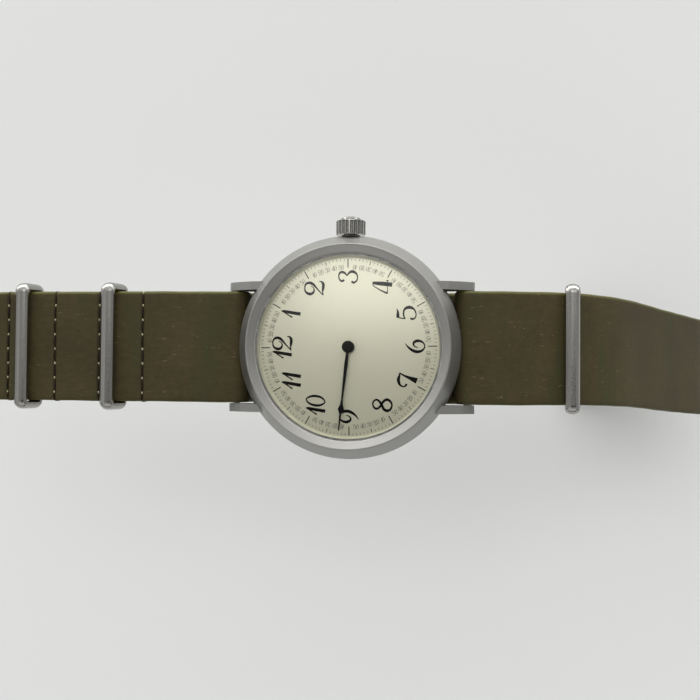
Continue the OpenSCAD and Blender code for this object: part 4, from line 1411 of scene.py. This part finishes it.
@dataclass
class Strap:
    """The leather strap: a long main length, a short under length, and their sewing."""

    plan: StrapPlan = StrapPlan()
    smooth: float = 50.0
    thread_r: float = 0.17
    thread_smooth: float = 80.0
    sink: float = 0.2
    stitch_end: float = 9.45
    stitch_inset: float = 0.22
    stitch_lean: Point2 = (-0.04, 0.04)
    stitch_bow: Point2 = (-0.14, 0.1)
    stitch_size: Point2 = (0.8, 1.1)
    knot_slip: Point2 = (-0.06, 0.06)
    knot_size: Point2 = (0.75, 0.95)

    def build(self) -> None:
        """Build the two lengths of leather and all the stitches."""
        plan = self.plan
        main, lower = Track(plan.main()), Track(plan.lower())
        grooves = [main.on_top(x) for x in plan.rows]
        sway = Sway(main.on_top(plan.sway_x), main.length)
        strip = Strip(main, plan.width, plan.thick, grooves, plan.width / 2, sway)
        cutters = [*self.holes(main, sway), self.slot()]
        length = strip.build("main_leather").finished(
            "watch", Finish.LEATHER, self.smooth, ("strap_main",), cutters
        )
        strip.mark(length.data)
        under = Strip(lower, plan.width, plan.under)
        below = under.build("under_leather").finished(
            "watch", Finish.LEATHER, self.smooth, ("strap_under",)
        )
        under.mark(below.data)
        LOG.info("leather: %d and %d corners", len(length.data.vertices), len(below.data.vertices))
        self.sew(main)

    def holes(self, track: Track, sway: Sway) -> list[Piece]:
        """Return cutters for the punched holes of the tail.

        Args:
            track: The main length's line.
            sway: The tail's sideways shift.

        Returns:
            The cutters.
        """
        plan = self.plan
        r, t = plan.hole_r, plan.thick / 2
        # The punch bevels both faces, and the cutter widens on past them.
        bevel, deep, clear, past = 0.2, 0.25, 0.5, 0.3
        profile = [(r + clear, -t - past), (r + bevel, -t), (r, -t + deep),
                   (r, t - deep), (r + bevel, t), (r + clear, t + past)]
        cutters = []
        for k in range(plan.hole_count):
            along = track.length - plan.hole_first - k * plan.hole_pitch
            point, normal = track.place(along)
            turn = Vector((normal.x, 0.0, normal.y)).to_track_quat("Z", "Y").to_matrix().to_4x4()
            axis = Matrix.Translation((point.x, sway.at(along), point.y)) @ turn
            cutters.append(lathe(profile, axis))
        return cutters

    def slot(self) -> Piece:
        """Shape the cutter for the tongue's slot in the fold at the buckle.

        Returns:
            The cutter.
        """
        plan, parts = self.plan, 8
        outline = []
        for step, start in zip(plan.slot_ends, (-90, 90)):
            for k in range(parts + 1):
                a = math.radians(start + 180 * k / parts)
                x = -plan.buckle_x + step + plan.slot_end_r * math.cos(a)
                outline.append((x, plan.slot_w / 2 * math.sin(a)))
        piece = Piece("slot")
        piece.tube([[(x, y, plan.buckle_z + h) for x, y in outline] for h in plan.slot_cut])
        return piece

    def sew(self, track: Track) -> None:
        """Sew both rows at each ring: dark stitches, pale knots painted as highlights, loops over the
        edges.

        Args:
            track: The main length's line.
        """
        rng = random.Random(7)
        dark, pale = Piece("stitches"), Piece("stitch_glints")
        for x in self.plan.rows:
            row = Row(*track.place(track.on_top(x)))
            self.stitches(row, rng, dark)
            self.crossings(row, rng, pale)
            # The second row's loop over the lit +Y edge is laid in the pale thread: painted
            # highlight.
            glint_loop = x == self.plan.rows[1]
            self.loop(row, -1, dark)
            self.loop(row, 1, pale if glint_loop else dark)
        dark.finished("watch", Finish.DARK_THREAD, self.thread_smooth, ("stitching",))
        pale.finished("watch", Finish.THREAD, self.thread_smooth)
        LOG.info("stitches: %d corners", len(dark.corners) + len(pale.corners))

    @property
    def seat(self) -> float:
        """Return the height of a groove's floor over the leather's middle line."""
        return self.plan.thick / 2 - self.sink

    def stitches(self, row: Row, rng: random.Random, piece: Piece) -> None:
        """Lay the stitches of a row, each bowed a little.

        Args:
            row: The row.
            rng: Source of the small differences.
            piece: The piece that they are added to.
        """
        pitch, shift = self.plan.stitch_pitch, self.plan.stitch_shift
        # Each point is a part of the stitch's length, a height and a part of its bow.
        path = [(0.0, -0.12, 0.0), (0.1, 0.04, 0.2), (0.3, 0.1, 0.7), (0.5, 0.12, 1.0),
                (0.7, 0.1, 0.7), (0.9, 0.04, 0.2), (1.0, -0.12, 0.0)]
        for k in range(-4, 4):
            a = max(-self.stitch_end, k * pitch + shift + self.stitch_inset)
            b = min(self.stitch_end, (k + 1) * pitch + shift - self.stitch_inset)
            lean, bow = rng.uniform(*self.stitch_lean), rng.uniform(*self.stitch_bow)
            line = [
                row.lifted(self.seat + h, a + (b - a) * s, lean + bow * w) for s, h, w in path
            ]
            thread(line, self.thread_r * rng.uniform(*self.stitch_size), piece)

    def crossings(self, row: Row, rng: random.Random, piece: Piece) -> None:
        """Lay the short pale knots at the holes of a row; their pale colour is a painted highlight on
        the thread.

        Args:
            row: The row.
            rng: Source of the small differences.
            piece: The piece that they are added to.
        """
        pitch, shift = self.plan.stitch_pitch, self.plan.stitch_shift
        # Each point is a distance across the strap and a height.
        knot = [(-0.17, -0.02), (-0.09, 0.09), (0.0, 0.13), (0.09, 0.09), (0.17, -0.02)]
        for k in range(-3, 4):
            y, slip = k * pitch + shift, rng.uniform(*self.knot_slip)
            size = self.thread_r * rng.uniform(*self.knot_size)
            thread([row.lifted(self.seat + h, y + d, slip) for d, h in knot], size, piece)

    def loop(self, row: Row, side: int, piece: Piece) -> None:
        """Lay the thread's loop over one edge of the leather.

        Args:
            row: The row.
            side: 1 or -1 for the edge.
            piece: The piece that it is added to.
        """
        plan, top = self.plan, self.seat
        deep = -plan.thick / 2 - plan.gap - plan.under
        # Each point is a distance across the strap and a height.
        path = [(9.42, top - 0.08), (9.62, top - 0.02), (9.82, top - 0.24), (9.9, 0.0),
                (9.9, deep / 2), (9.88, deep + 0.4), (9.6, deep + 0.1), (9.2, deep + 0.12)]
        thread([row.lifted(h, side * y) for y, h in path], self.thread_r, piece)


Stroke = tuple[Point3, ...]


@dataclass(frozen=True)
class Glyph:
    """A figure drawn with a broad pen: strokes of x, y and width in parts of its height."""

    advance: float
    strokes: tuple[Stroke, ...]


SIX: Stroke = (
    (0.47, 1.0, 0.02), (0.29, 0.86, 0.07), (0.14, 0.67, 0.11), (0.05, 0.43, 0.13),
    (0.09, 0.19, 0.1), (0.22, 0.05, 0.06), (0.35, 0.02, 0.05), (0.48, 0.08, 0.06),
    (0.57, 0.2, 0.09), (0.6, 0.39, 0.12), (0.53, 0.55, 0.1), (0.42, 0.59, 0.07),
    (0.31, 0.51, 0.05), (0.26, 0.35, 0.03),
)
GLYPHS: dict[str, Glyph] = {
    "0": Glyph(0.6, ((
        (0.35, 0.98, 0.05), (0.49, 0.8, 0.08), (0.53, 0.52, 0.1), (0.45, 0.2, 0.08),
        (0.24, 0.02, 0.05), (0.09, 0.18, 0.08), (0.05, 0.46, 0.1), (0.14, 0.8, 0.08),
        (0.35, 0.98, 0.05),
    ),)),
    "1": Glyph(0.45, (
        ((0.38, 1.0, 0.02), (0.35, 0.86, 0.11), (0.29, 0.5, 0.13), (0.21, 0.0, 0.14)),
        ((0.36, 0.93, 0.05), (0.25, 0.76, 0.05), (0.12, 0.56, 0.05), (0.04, 0.43, 0.07)),
    )),
    "2": Glyph(0.75, (
        ((0.46, 0.68, 0.03), (0.39, 0.55, 0.04), (0.25, 0.5, 0.06), (0.1, 0.58, 0.1),
         (0.06, 0.74, 0.12), (0.15, 0.92, 0.08), (0.34, 0.99, 0.05), (0.54, 0.94, 0.07),
         (0.63, 0.78, 0.11), (0.57, 0.58, 0.11), (0.38, 0.4, 0.07), (0.17, 0.21, 0.05),
         (0.0, 0.03, 0.05)),
        ((0.0, 0.03, 0.03), (0.15, 0.07, 0.05), (0.37, 0.04, 0.11), (0.56, 0.04, 0.12),
         (0.68, 0.13, 0.07), (0.7, 0.26, 0.02)),
    )),
    "3": Glyph(0.68, (
        ((0.16, 0.7, 0.07), (0.1, 0.76, 0.09), (0.09, 0.84, 0.08), (0.17, 0.93, 0.06),
         (0.32, 0.98, 0.05), (0.49, 0.93, 0.07), (0.55, 0.81, 0.1), (0.49, 0.66, 0.08),
         (0.36, 0.56, 0.04)),
        ((0.36, 0.56, 0.04), (0.53, 0.42, 0.09), (0.57, 0.25, 0.12), (0.46, 0.08, 0.08),
         (0.28, 0.02, 0.05), (0.11, 0.06, 0.06), (0.02, 0.17, 0.08), (0.03, 0.26, 0.1),
         (0.08, 0.32, 0.06)),
    )),
    "4": Glyph(0.72, (
        ((0.56, 1.0, 0.1), (0.53, 0.7, 0.15), (0.5, 0.35, 0.17), (0.46, 0.0, 0.17)),
        ((0.53, 0.98, 0.03), (0.44, 0.96, 0.04), (0.37, 0.9, 0.04), (0.2, 0.62, 0.05),
         (0.03, 0.26, 0.08)),
        ((0.0, 0.24, 0.04), (0.35, 0.24, 0.03), (0.68, 0.24, 0.03)),
        ((0.66, 0.32, 0.02), (0.67, 0.25, 0.05), (0.66, 0.17, 0.02)),
    )),
    "5": Glyph(0.72, (
        ((0.08, 0.93, 0.12), (0.26, 0.93, 0.12), (0.42, 0.94, 0.07), (0.53, 1.0, 0.02)),
        ((0.1, 0.93, 0.04), (0.06, 0.74, 0.05), (0.04, 0.55, 0.04)),
        ((0.04, 0.55, 0.03), (0.17, 0.63, 0.06), (0.4, 0.64, 0.07), (0.56, 0.54, 0.1),
         (0.61, 0.34, 0.13), (0.53, 0.14, 0.08), (0.34, 0.03, 0.05), (0.14, 0.03, 0.05),
         (0.03, 0.13, 0.07), (0.03, 0.24, 0.09), (0.07, 0.3, 0.06)),
    )),
    "6": Glyph(0.68, (SIX,)),
    "7": Glyph(0.74, (
        ((0.17, 0.53, 0.1), (0.09, 0.55, 0.08), (0.03, 0.67, 0.06), (0.12, 0.85, 0.09),
         (0.36, 0.93, 0.13), (0.57, 0.88, 0.09), (0.72, 0.86, 0.05)),
        ((0.72, 0.88, 0.05), (0.58, 0.63, 0.08), (0.46, 0.35, 0.14), (0.36, 0.1, 0.21),
         (0.32, 0.0, 0.24)),
    )),
    "8": Glyph(0.66, ((
        (0.35, 0.55, 0.1), (0.52, 0.68, 0.09), (0.58, 0.82, 0.08), (0.47, 0.96, 0.07),
        (0.31, 0.98, 0.06), (0.17, 0.9, 0.08), (0.13, 0.77, 0.09), (0.22, 0.63, 0.09),
        (0.35, 0.55, 0.1), (0.52, 0.42, 0.1), (0.59, 0.26, 0.11), (0.49, 0.09, 0.09),
        (0.31, 0.02, 0.07), (0.11, 0.09, 0.09), (0.03, 0.25, 0.12), (0.1, 0.42, 0.11),
        (0.35, 0.55, 0.1),
    ),)),
    "9": Glyph(0.68, (tuple((0.63 - x, 1.0 - y, w) for x, y, w in SIX),)),
}


@dataclass
class Dial:
    """The dial's print: figures, hour marks and minute marks in ink."""

    top_z: float = 9.5
    ink_t: float = 0.03
    ink_sink: float = 0.004
    line_least: float = 0.03
    height: float = 3.45
    weight: float = 1.22
    figure_r: float = 11.75
    figure_parts: int = 8
    small_height: float = 0.84
    small_weight: float = 0.8
    small_narrow: float = 0.82
    small_r: float = 14.0
    small_parts: int = 3
    figure_gap: float = 0.04
    mark_end: float = 15.45
    hour_mark: Point2 = (13.9, 0.16)
    half_mark: Point2 = (14.75, 0.11)
    fine_mark: Point2 = (15.1, 0.07)
    turn: float = -0.8

    def build(self) -> None:
        """Print the hours, the minutes and the scale."""
        hours, minutes = Piece("hour_figures"), Piece("minute_figures")
        scale, marks = Piece("hour_marks"), Piece("minute_marks")
        radii = {2: 12.0, 3: 12.35, 4: 12.0, 6: 11.65, 9: 12.1}
        for hour in range(1, 13):
            out = self.outward(30 * hour)
            centre = out * radii.get(hour, self.figure_r)
            self.write(hours, str(hour), centre, Vector((-1.0, 0.0)), self.height, self.weight)
            self.tick(scale, 30 * hour, *self.hour_mark)
            for step in range(1, 12):
                mark = self.half_mark if step == 6 else self.fine_mark
                self.tick(marks, 30 * hour + 2.5 * step, *mark)
            for step in range(1, 6):
                angle = 30 * hour + 5 * step
                out = self.outward(angle)
                up = -out if 90 < angle % 360 < 270 else out
                place, text = out * self.small_r, f"{step}0"
                self.write(minutes, text, place, up, self.small_height, self.small_weight)
        for piece in (hours, scale, minutes, marks):
            fine = piece in (minutes, marks)
            piece.finished("watch", Finish.FINE_INK if fine else Finish.INK, None)
            LOG.info("%s: %d corners", piece.name, len(piece.corners))

    def outward(self, angle: float) -> Vector:
        """Return the direction from the middle at an angle clockwise from 12 o'clock."""
        a = math.radians(angle + self.turn)
        return Vector((-math.cos(a), math.sin(a)))

    def tick(self, piece: Piece, angle: float, start: float, wide: float) -> None:
        """Print a straight mark out to the scale's edge.

        Args:
            piece: The piece that it is added to.
            angle: Angle clockwise from 12 o'clock.
            start: Inner radius.
            wide: Width.
        """
        out = self.outward(angle)
        self.draw(piece, [(out * start, wide), (out * self.mark_end, wide)])

    def write(
        self, piece: Piece, text: str, centre: Vector, up: Vector, height: float, weight: float
    ) -> None:
        """Print figures round a centre.

        Args:
            piece: The piece that they are added to.
            text: The figures.
            centre: Their centre.
            up: Direction of their tops.
            height: Their height.
            weight: Boldness, 1 as drawn.
        """
        small = height == self.small_height
        parts = self.small_parts if small else self.figure_parts
        right = Vector((up.y, -up.x)) * (self.small_narrow if small else 1.0)
        wide = sum(GLYPHS[c].advance for c in text) - self.figure_gap
        pen = centre - right * height * wide / 2 - up * height / 2
        for figure in text:
            for stroke in GLYPHS[figure].strokes:
                self.draw(piece, [
                    (pen + right * x * height + up * y * height, w * weight * height)
                    for x, y, w in self.smoothed(stroke, parts)
                ])
            pen = pen + right * GLYPHS[figure].advance * height

    @staticmethod
    def smoothed(stroke: Stroke, parts: int) -> list[Point3]:
        """Return a stroke as a smooth curve through its points.

        Args:
            stroke: Points with widths.
            parts: Parts between two points.

        Returns:
            Points with widths.
        """
        closed = stroke[0][:2] == stroke[-1][:2]
        ends = (stroke[-2], stroke[1]) if closed else (stroke[0], stroke[-1])
        p = [Vector(s) for s in (ends[0], *stroke, ends[1])]
        found = []
        for i in range(1, len(p) - 2):
            for k in range(parts):
                t = k / parts
                found.append(0.5 * (
                    2 * p[i] + (p[i + 1] - p[i - 1]) * t
                    + (2 * p[i - 1] - 5 * p[i] + 4 * p[i + 1] - p[i + 2]) * t**2
                    + (3 * p[i] - p[i - 1] - 3 * p[i + 1] + p[i + 2]) * t**3
                ))
        return [tuple(v) for v in (*found, p[-2])]

    def draw(self, piece: Piece, line: Sequence[tuple[Vector, float]]) -> None:
        """Lay a flat line of ink of changing width on the dial.

        Args:
            piece: The piece that it is added to.
            line: Points with widths.
        """
        low, high = self.top_z - self.ink_sink, self.top_z + self.ink_t
        last = len(line) - 1
        rings = []
        for i, (point, wide) in enumerate(line):
            along = (line[min(i + 1, last)][0] - line[max(i - 1, 0)][0]).normalized()
            side = Vector((-along.y, along.x)) * max(wide, self.line_least) / 2
            a, b = point + side, point - side
            rings.append([(a.x, a.y, low), (b.x, b.y, low), (b.x, b.y, high), (a.x, a.y, high)])
        piece.tube(rings)


@dataclass(frozen=True)
class Dresser:
    """Gives each CAD node that stays in view its finish."""

    finishes: dict[str, Finish]

    def dress(self, model: dict) -> None:
        """Dress the nodes.
        """
        for name, finish in self.finishes.items():
            node = model["nodes"][name]
            node.data.materials.clear()
            node.data.materials.append(finish.material())
            finish.slot
            LOG.info("%s: %s", name, finish.name)


CASE = Dresser({
    "case_middle": Finish.CASE, "bezel": Finish.CASE, "case_back": Finish.CASE,
    "crown_tube": Finish.CASE, "crystal": Finish.CRYSTAL, "flange_ring": Finish.FLANGE,
    "crystal_gasket": Finish.CRYSTAL_GASKET, "case_back_gasket": Finish.GASKET,
    "dial": Finish.DIAL, "hour_hand": Finish.HAND, "movement_ring": Finish.BRASS,
    "crown": Finish.CROWN, "crown_gasket": Finish.GASKET, "winding_stem": Finish.POLISHED,
    "spring_bar_left": Finish.POLISHED, "spring_bar_right": Finish.POLISHED,
    "bar_tip_left_upper": Finish.POLISHED, "bar_tip_left_lower": Finish.POLISHED,
    "bar_tip_right_upper": Finish.POLISHED, "bar_tip_right_lower": Finish.POLISHED,
})
HARDWARE = Dresser({
    "keeper_near": Finish.RING, "keeper_far": Finish.RING, "end_ring": Finish.RING,
    "buckle_bar": Finish.POLISHED, "buckle_frame": Finish.RING, "buckle_tongue": Finish.RING,
})
MOVEMENT = Dresser({
    "main_plate": Finish.RHODIUM, "barrel_bridge": Finish.RHODIUM,
    "train_bridge": Finish.RHODIUM, "balance_cock": Finish.RHODIUM,
    "pallet_bridge": Finish.RHODIUM, "jewels": Finish.RUBY, "movement_screws": Finish.BLUED,
    "barrel": Finish.BRASS, "mainspring": Finish.SPRING, "centre_wheel": Finish.BRASS,
    "third_wheel": Finish.BRASS, "fourth_wheel": Finish.BRASS, "escape_wheel": Finish.POLISHED,
    "pallet_fork": Finish.POLISHED, "balance_wheel": Finish.BRASS, "hairspring": Finish.SPRING,
    "winding_pinion": Finish.POLISHED, "sliding_pinion": Finish.POLISHED,
    "crown_wheel": Finish.POLISHED, "ratchet_wheel": Finish.POLISHED, "click": Finish.POLISHED,
    "click_spring": Finish.SPRING, "setting_wheel": Finish.BRASS,
    "setting_lever": Finish.POLISHED, "yoke": Finish.POLISHED, "cannon_pinion": Finish.POLISHED,
    "minute_wheel": Finish.BRASS, "hour_wheel": Finish.BRASS,
})


@dataclass(frozen=True)
class Sky:
    """Light from low all round, most of it from the crown's side and little from above.

    The sides glow between floor and ceiling, and a strip near the floor shines from the crown's
    side. A patch overhead, a little to that side, is mirrored in the dial. A pair of numbers says
    where along X, Y or Z of the light's direction its part starts and where it is full.
    """

    colour: Colour = srgb(252, 252, 250)
    backdrop: float = 0.78
    side: float = 0.56
    side_gain: float = 1.1
    ceiling: Point2 = (0.78, 0.95)
    ceiling_loss: float = 0.7
    low: Point2 = (0.35, 0.1)
    crown_side: Point2 = (0.1, 0.95)
    strip: float = 8.0
    strip_least: float = 0.3
    overhead: Point2 = (-0.25, 0.25)
    overhead_gain: float = 0.4
    patch_in: Point2 = (0.0, 0.32)
    patch_out: Point2 = (0.6, 0.38)
    patch_x_squared: Point2 = (0.2, 0.02)
    patch_z: Point2 = (0.78, 0.92)
    patch: float = 2.3
    level: float = 0.9
    lean: float = 0.17
    far_side: Point2 = (-0.15, -0.6)
    far_loss: float = 0.25
    least: float = 0.02

    def make(self) -> bpy.types.World:
        """Make the world that lights the watch.

        Returns:
            The world.
        """
        world = bpy.data.worlds.new("studio")
        world.use_nodes = True
        w = Nodes(world.node_tree)
        way = w.node("ShaderNodeTexCoord", output="Generated")
        x, y, z = (w.axis(name, way) for name in "XYZ")
        over, low = w.band(z, *self.ceiling), w.band(z, *self.low)
        sides = (y * y * self.side_gain + self.side) * (1 - over * self.ceiling_loss) * (1 - low)
        strip = low * (w.band(y, *self.crown_side) * self.strip + self.strip_least)
        patch = w.band(y, *self.patch_in) * w.band(y, *self.patch_out)
        patch = patch * w.band(x * x, *self.patch_x_squared) * w.band(z, *self.patch_z)
        above = over * (w.band(y, *self.overhead) - 0.5) * self.overhead_gain + patch * self.patch
        tone = (self.level - x * self.lean) * (1 - w.band(y, *self.far_side) * self.far_loss)
        strength = ((sides + strip + above) * tone).at_least(self.least)
        seen = w.node("ShaderNodeLightPath", output="Is Camera Ray")
        shown = strength * (1 - seen) + seen * self.backdrop
        back = world.node_tree.nodes["Background"]
        feed(world.node_tree, back.inputs["Color"], self.colour)
        feed(world.node_tree, back.inputs["Strength"], shown)
        return world


@dataclass(frozen=True)
class Lamp:
    """A square soft lamp aimed at the watch, with its lengths in metres and its power in watts."""

    name: str
    place: Point3
    size: float
    power: float
    aim: Point3 = (0.0, 0.0, 0.005)

    def hang(self) -> None:
        """Add the lamp."""
        light = bpy.data.lights.new(self.name, "AREA")
        light.shape = "SQUARE"
        light.size = self.size
        light.energy = self.power
        made = bpy.data.objects.new(self.name, light)
        made.location = self.place
        aim = Vector(self.aim) - Vector(self.place)
        made.rotation_euler = aim.to_track_quat("-Z", "Y").to_euler()
        bpy.context.scene.collection.objects.link(made)
        LOG.info("lamp %s", self.name)


@dataclass
class Stage:
    """The pale floor, the soft lights and the camera at the photograph's angle."""

    floor_z: float
    paper: Colour = srgb(248, 249, 249)
    paper_dull: float = 0.985
    paper_rough: float = 0.9
    paper_gloss: float = 0.1
    paper_patch: float = 90.0
    wide: float = 1.6
    sky: Sky = Sky()
    key: Lamp = Lamp("key", place=(-0.1, 0.5, 0.2), size=0.3, power=0.12)
    distance: float = 184.0
    tilt: float = 6.4
    drop: float = 1.5
    roll: float = 0.3
    focus_z: float = 8.4
    shift: Point2 = (0.14, 0.5)
    lens: float = 53.8
    sensor: float = 36.0
    nearest: float = 0.01

    def build(self) -> None:
        """Lay the floor and place the lights and the camera."""
        self.floor()
        bpy.context.scene.world = self.sky.make()
        self.key.hang()
        self.camera()

    def floor(self) -> None:
        """Lay the floor."""
        half, low = self.wide / 2, self.floor_z
        mesh = bpy.data.meshes.new("floor")
        mesh.from_pydata(
            [(-half, -half, low), (half, -half, low), (half, half, low), (-half, half, low)],
            [], [(0, 1, 2, 3)],
        )
        made = bpy.data.objects.new("floor", mesh)
        bpy.context.scene.collection.objects.link(made)
        s = Shader("floor_paper")
        cloud = s.noise(self.paper_patch, 2)
        s.put("Base Color", s.mix(cloud, shade(self.paper, self.paper_dull), self.paper))
        s.put("Roughness", self.paper_rough)
        s.put("Specular IOR Level", self.paper_gloss)
        mesh.materials.append(s.material)
        made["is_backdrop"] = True

    def camera(self) -> None:
        """Place the camera over the dial, leaning a little towards 6 and 9 o'clock."""
        lean = Matrix.Rotation(math.radians(self.tilt), 3, "Y")
        drop = Matrix.Rotation(math.radians(self.drop), 3, "X")
        axes = drop @ lean @ Matrix.Rotation(math.radians(self.roll), 3, "Z")
        right, up, back = axes.col
        middle = Vector((0.0, 0.0, self.focus_z))
        place = middle + back * self.distance - up * self.shift[1] + right * self.shift[0]
        data = bpy.data.cameras.new("camera")
        data.lens = self.lens
        data.sensor_width = self.sensor
        data.clip_start = self.nearest
        made = bpy.data.objects.new("camera", data)
        made.matrix_world = Matrix.Translation(place * MM) @ axes.to_4x4()
        bpy.context.scene.collection.objects.link(made)
        bpy.context.scene.camera = made


def main() -> None:
    """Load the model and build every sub-assembly."""
    logging.basicConfig(level=logging.INFO, format="%(name)s: %(message)s")
    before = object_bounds()
    scene = bpy.context.scene
    scene.view_settings.view_transform = "Standard"
    for part in (CASE, HARDWARE, MOVEMENT):
        part.dress(frame)
    Strap().build()
    Dial().build()
    Stage(before[0][2]).build()
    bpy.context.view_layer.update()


if __name__ == "__main__":
    main()
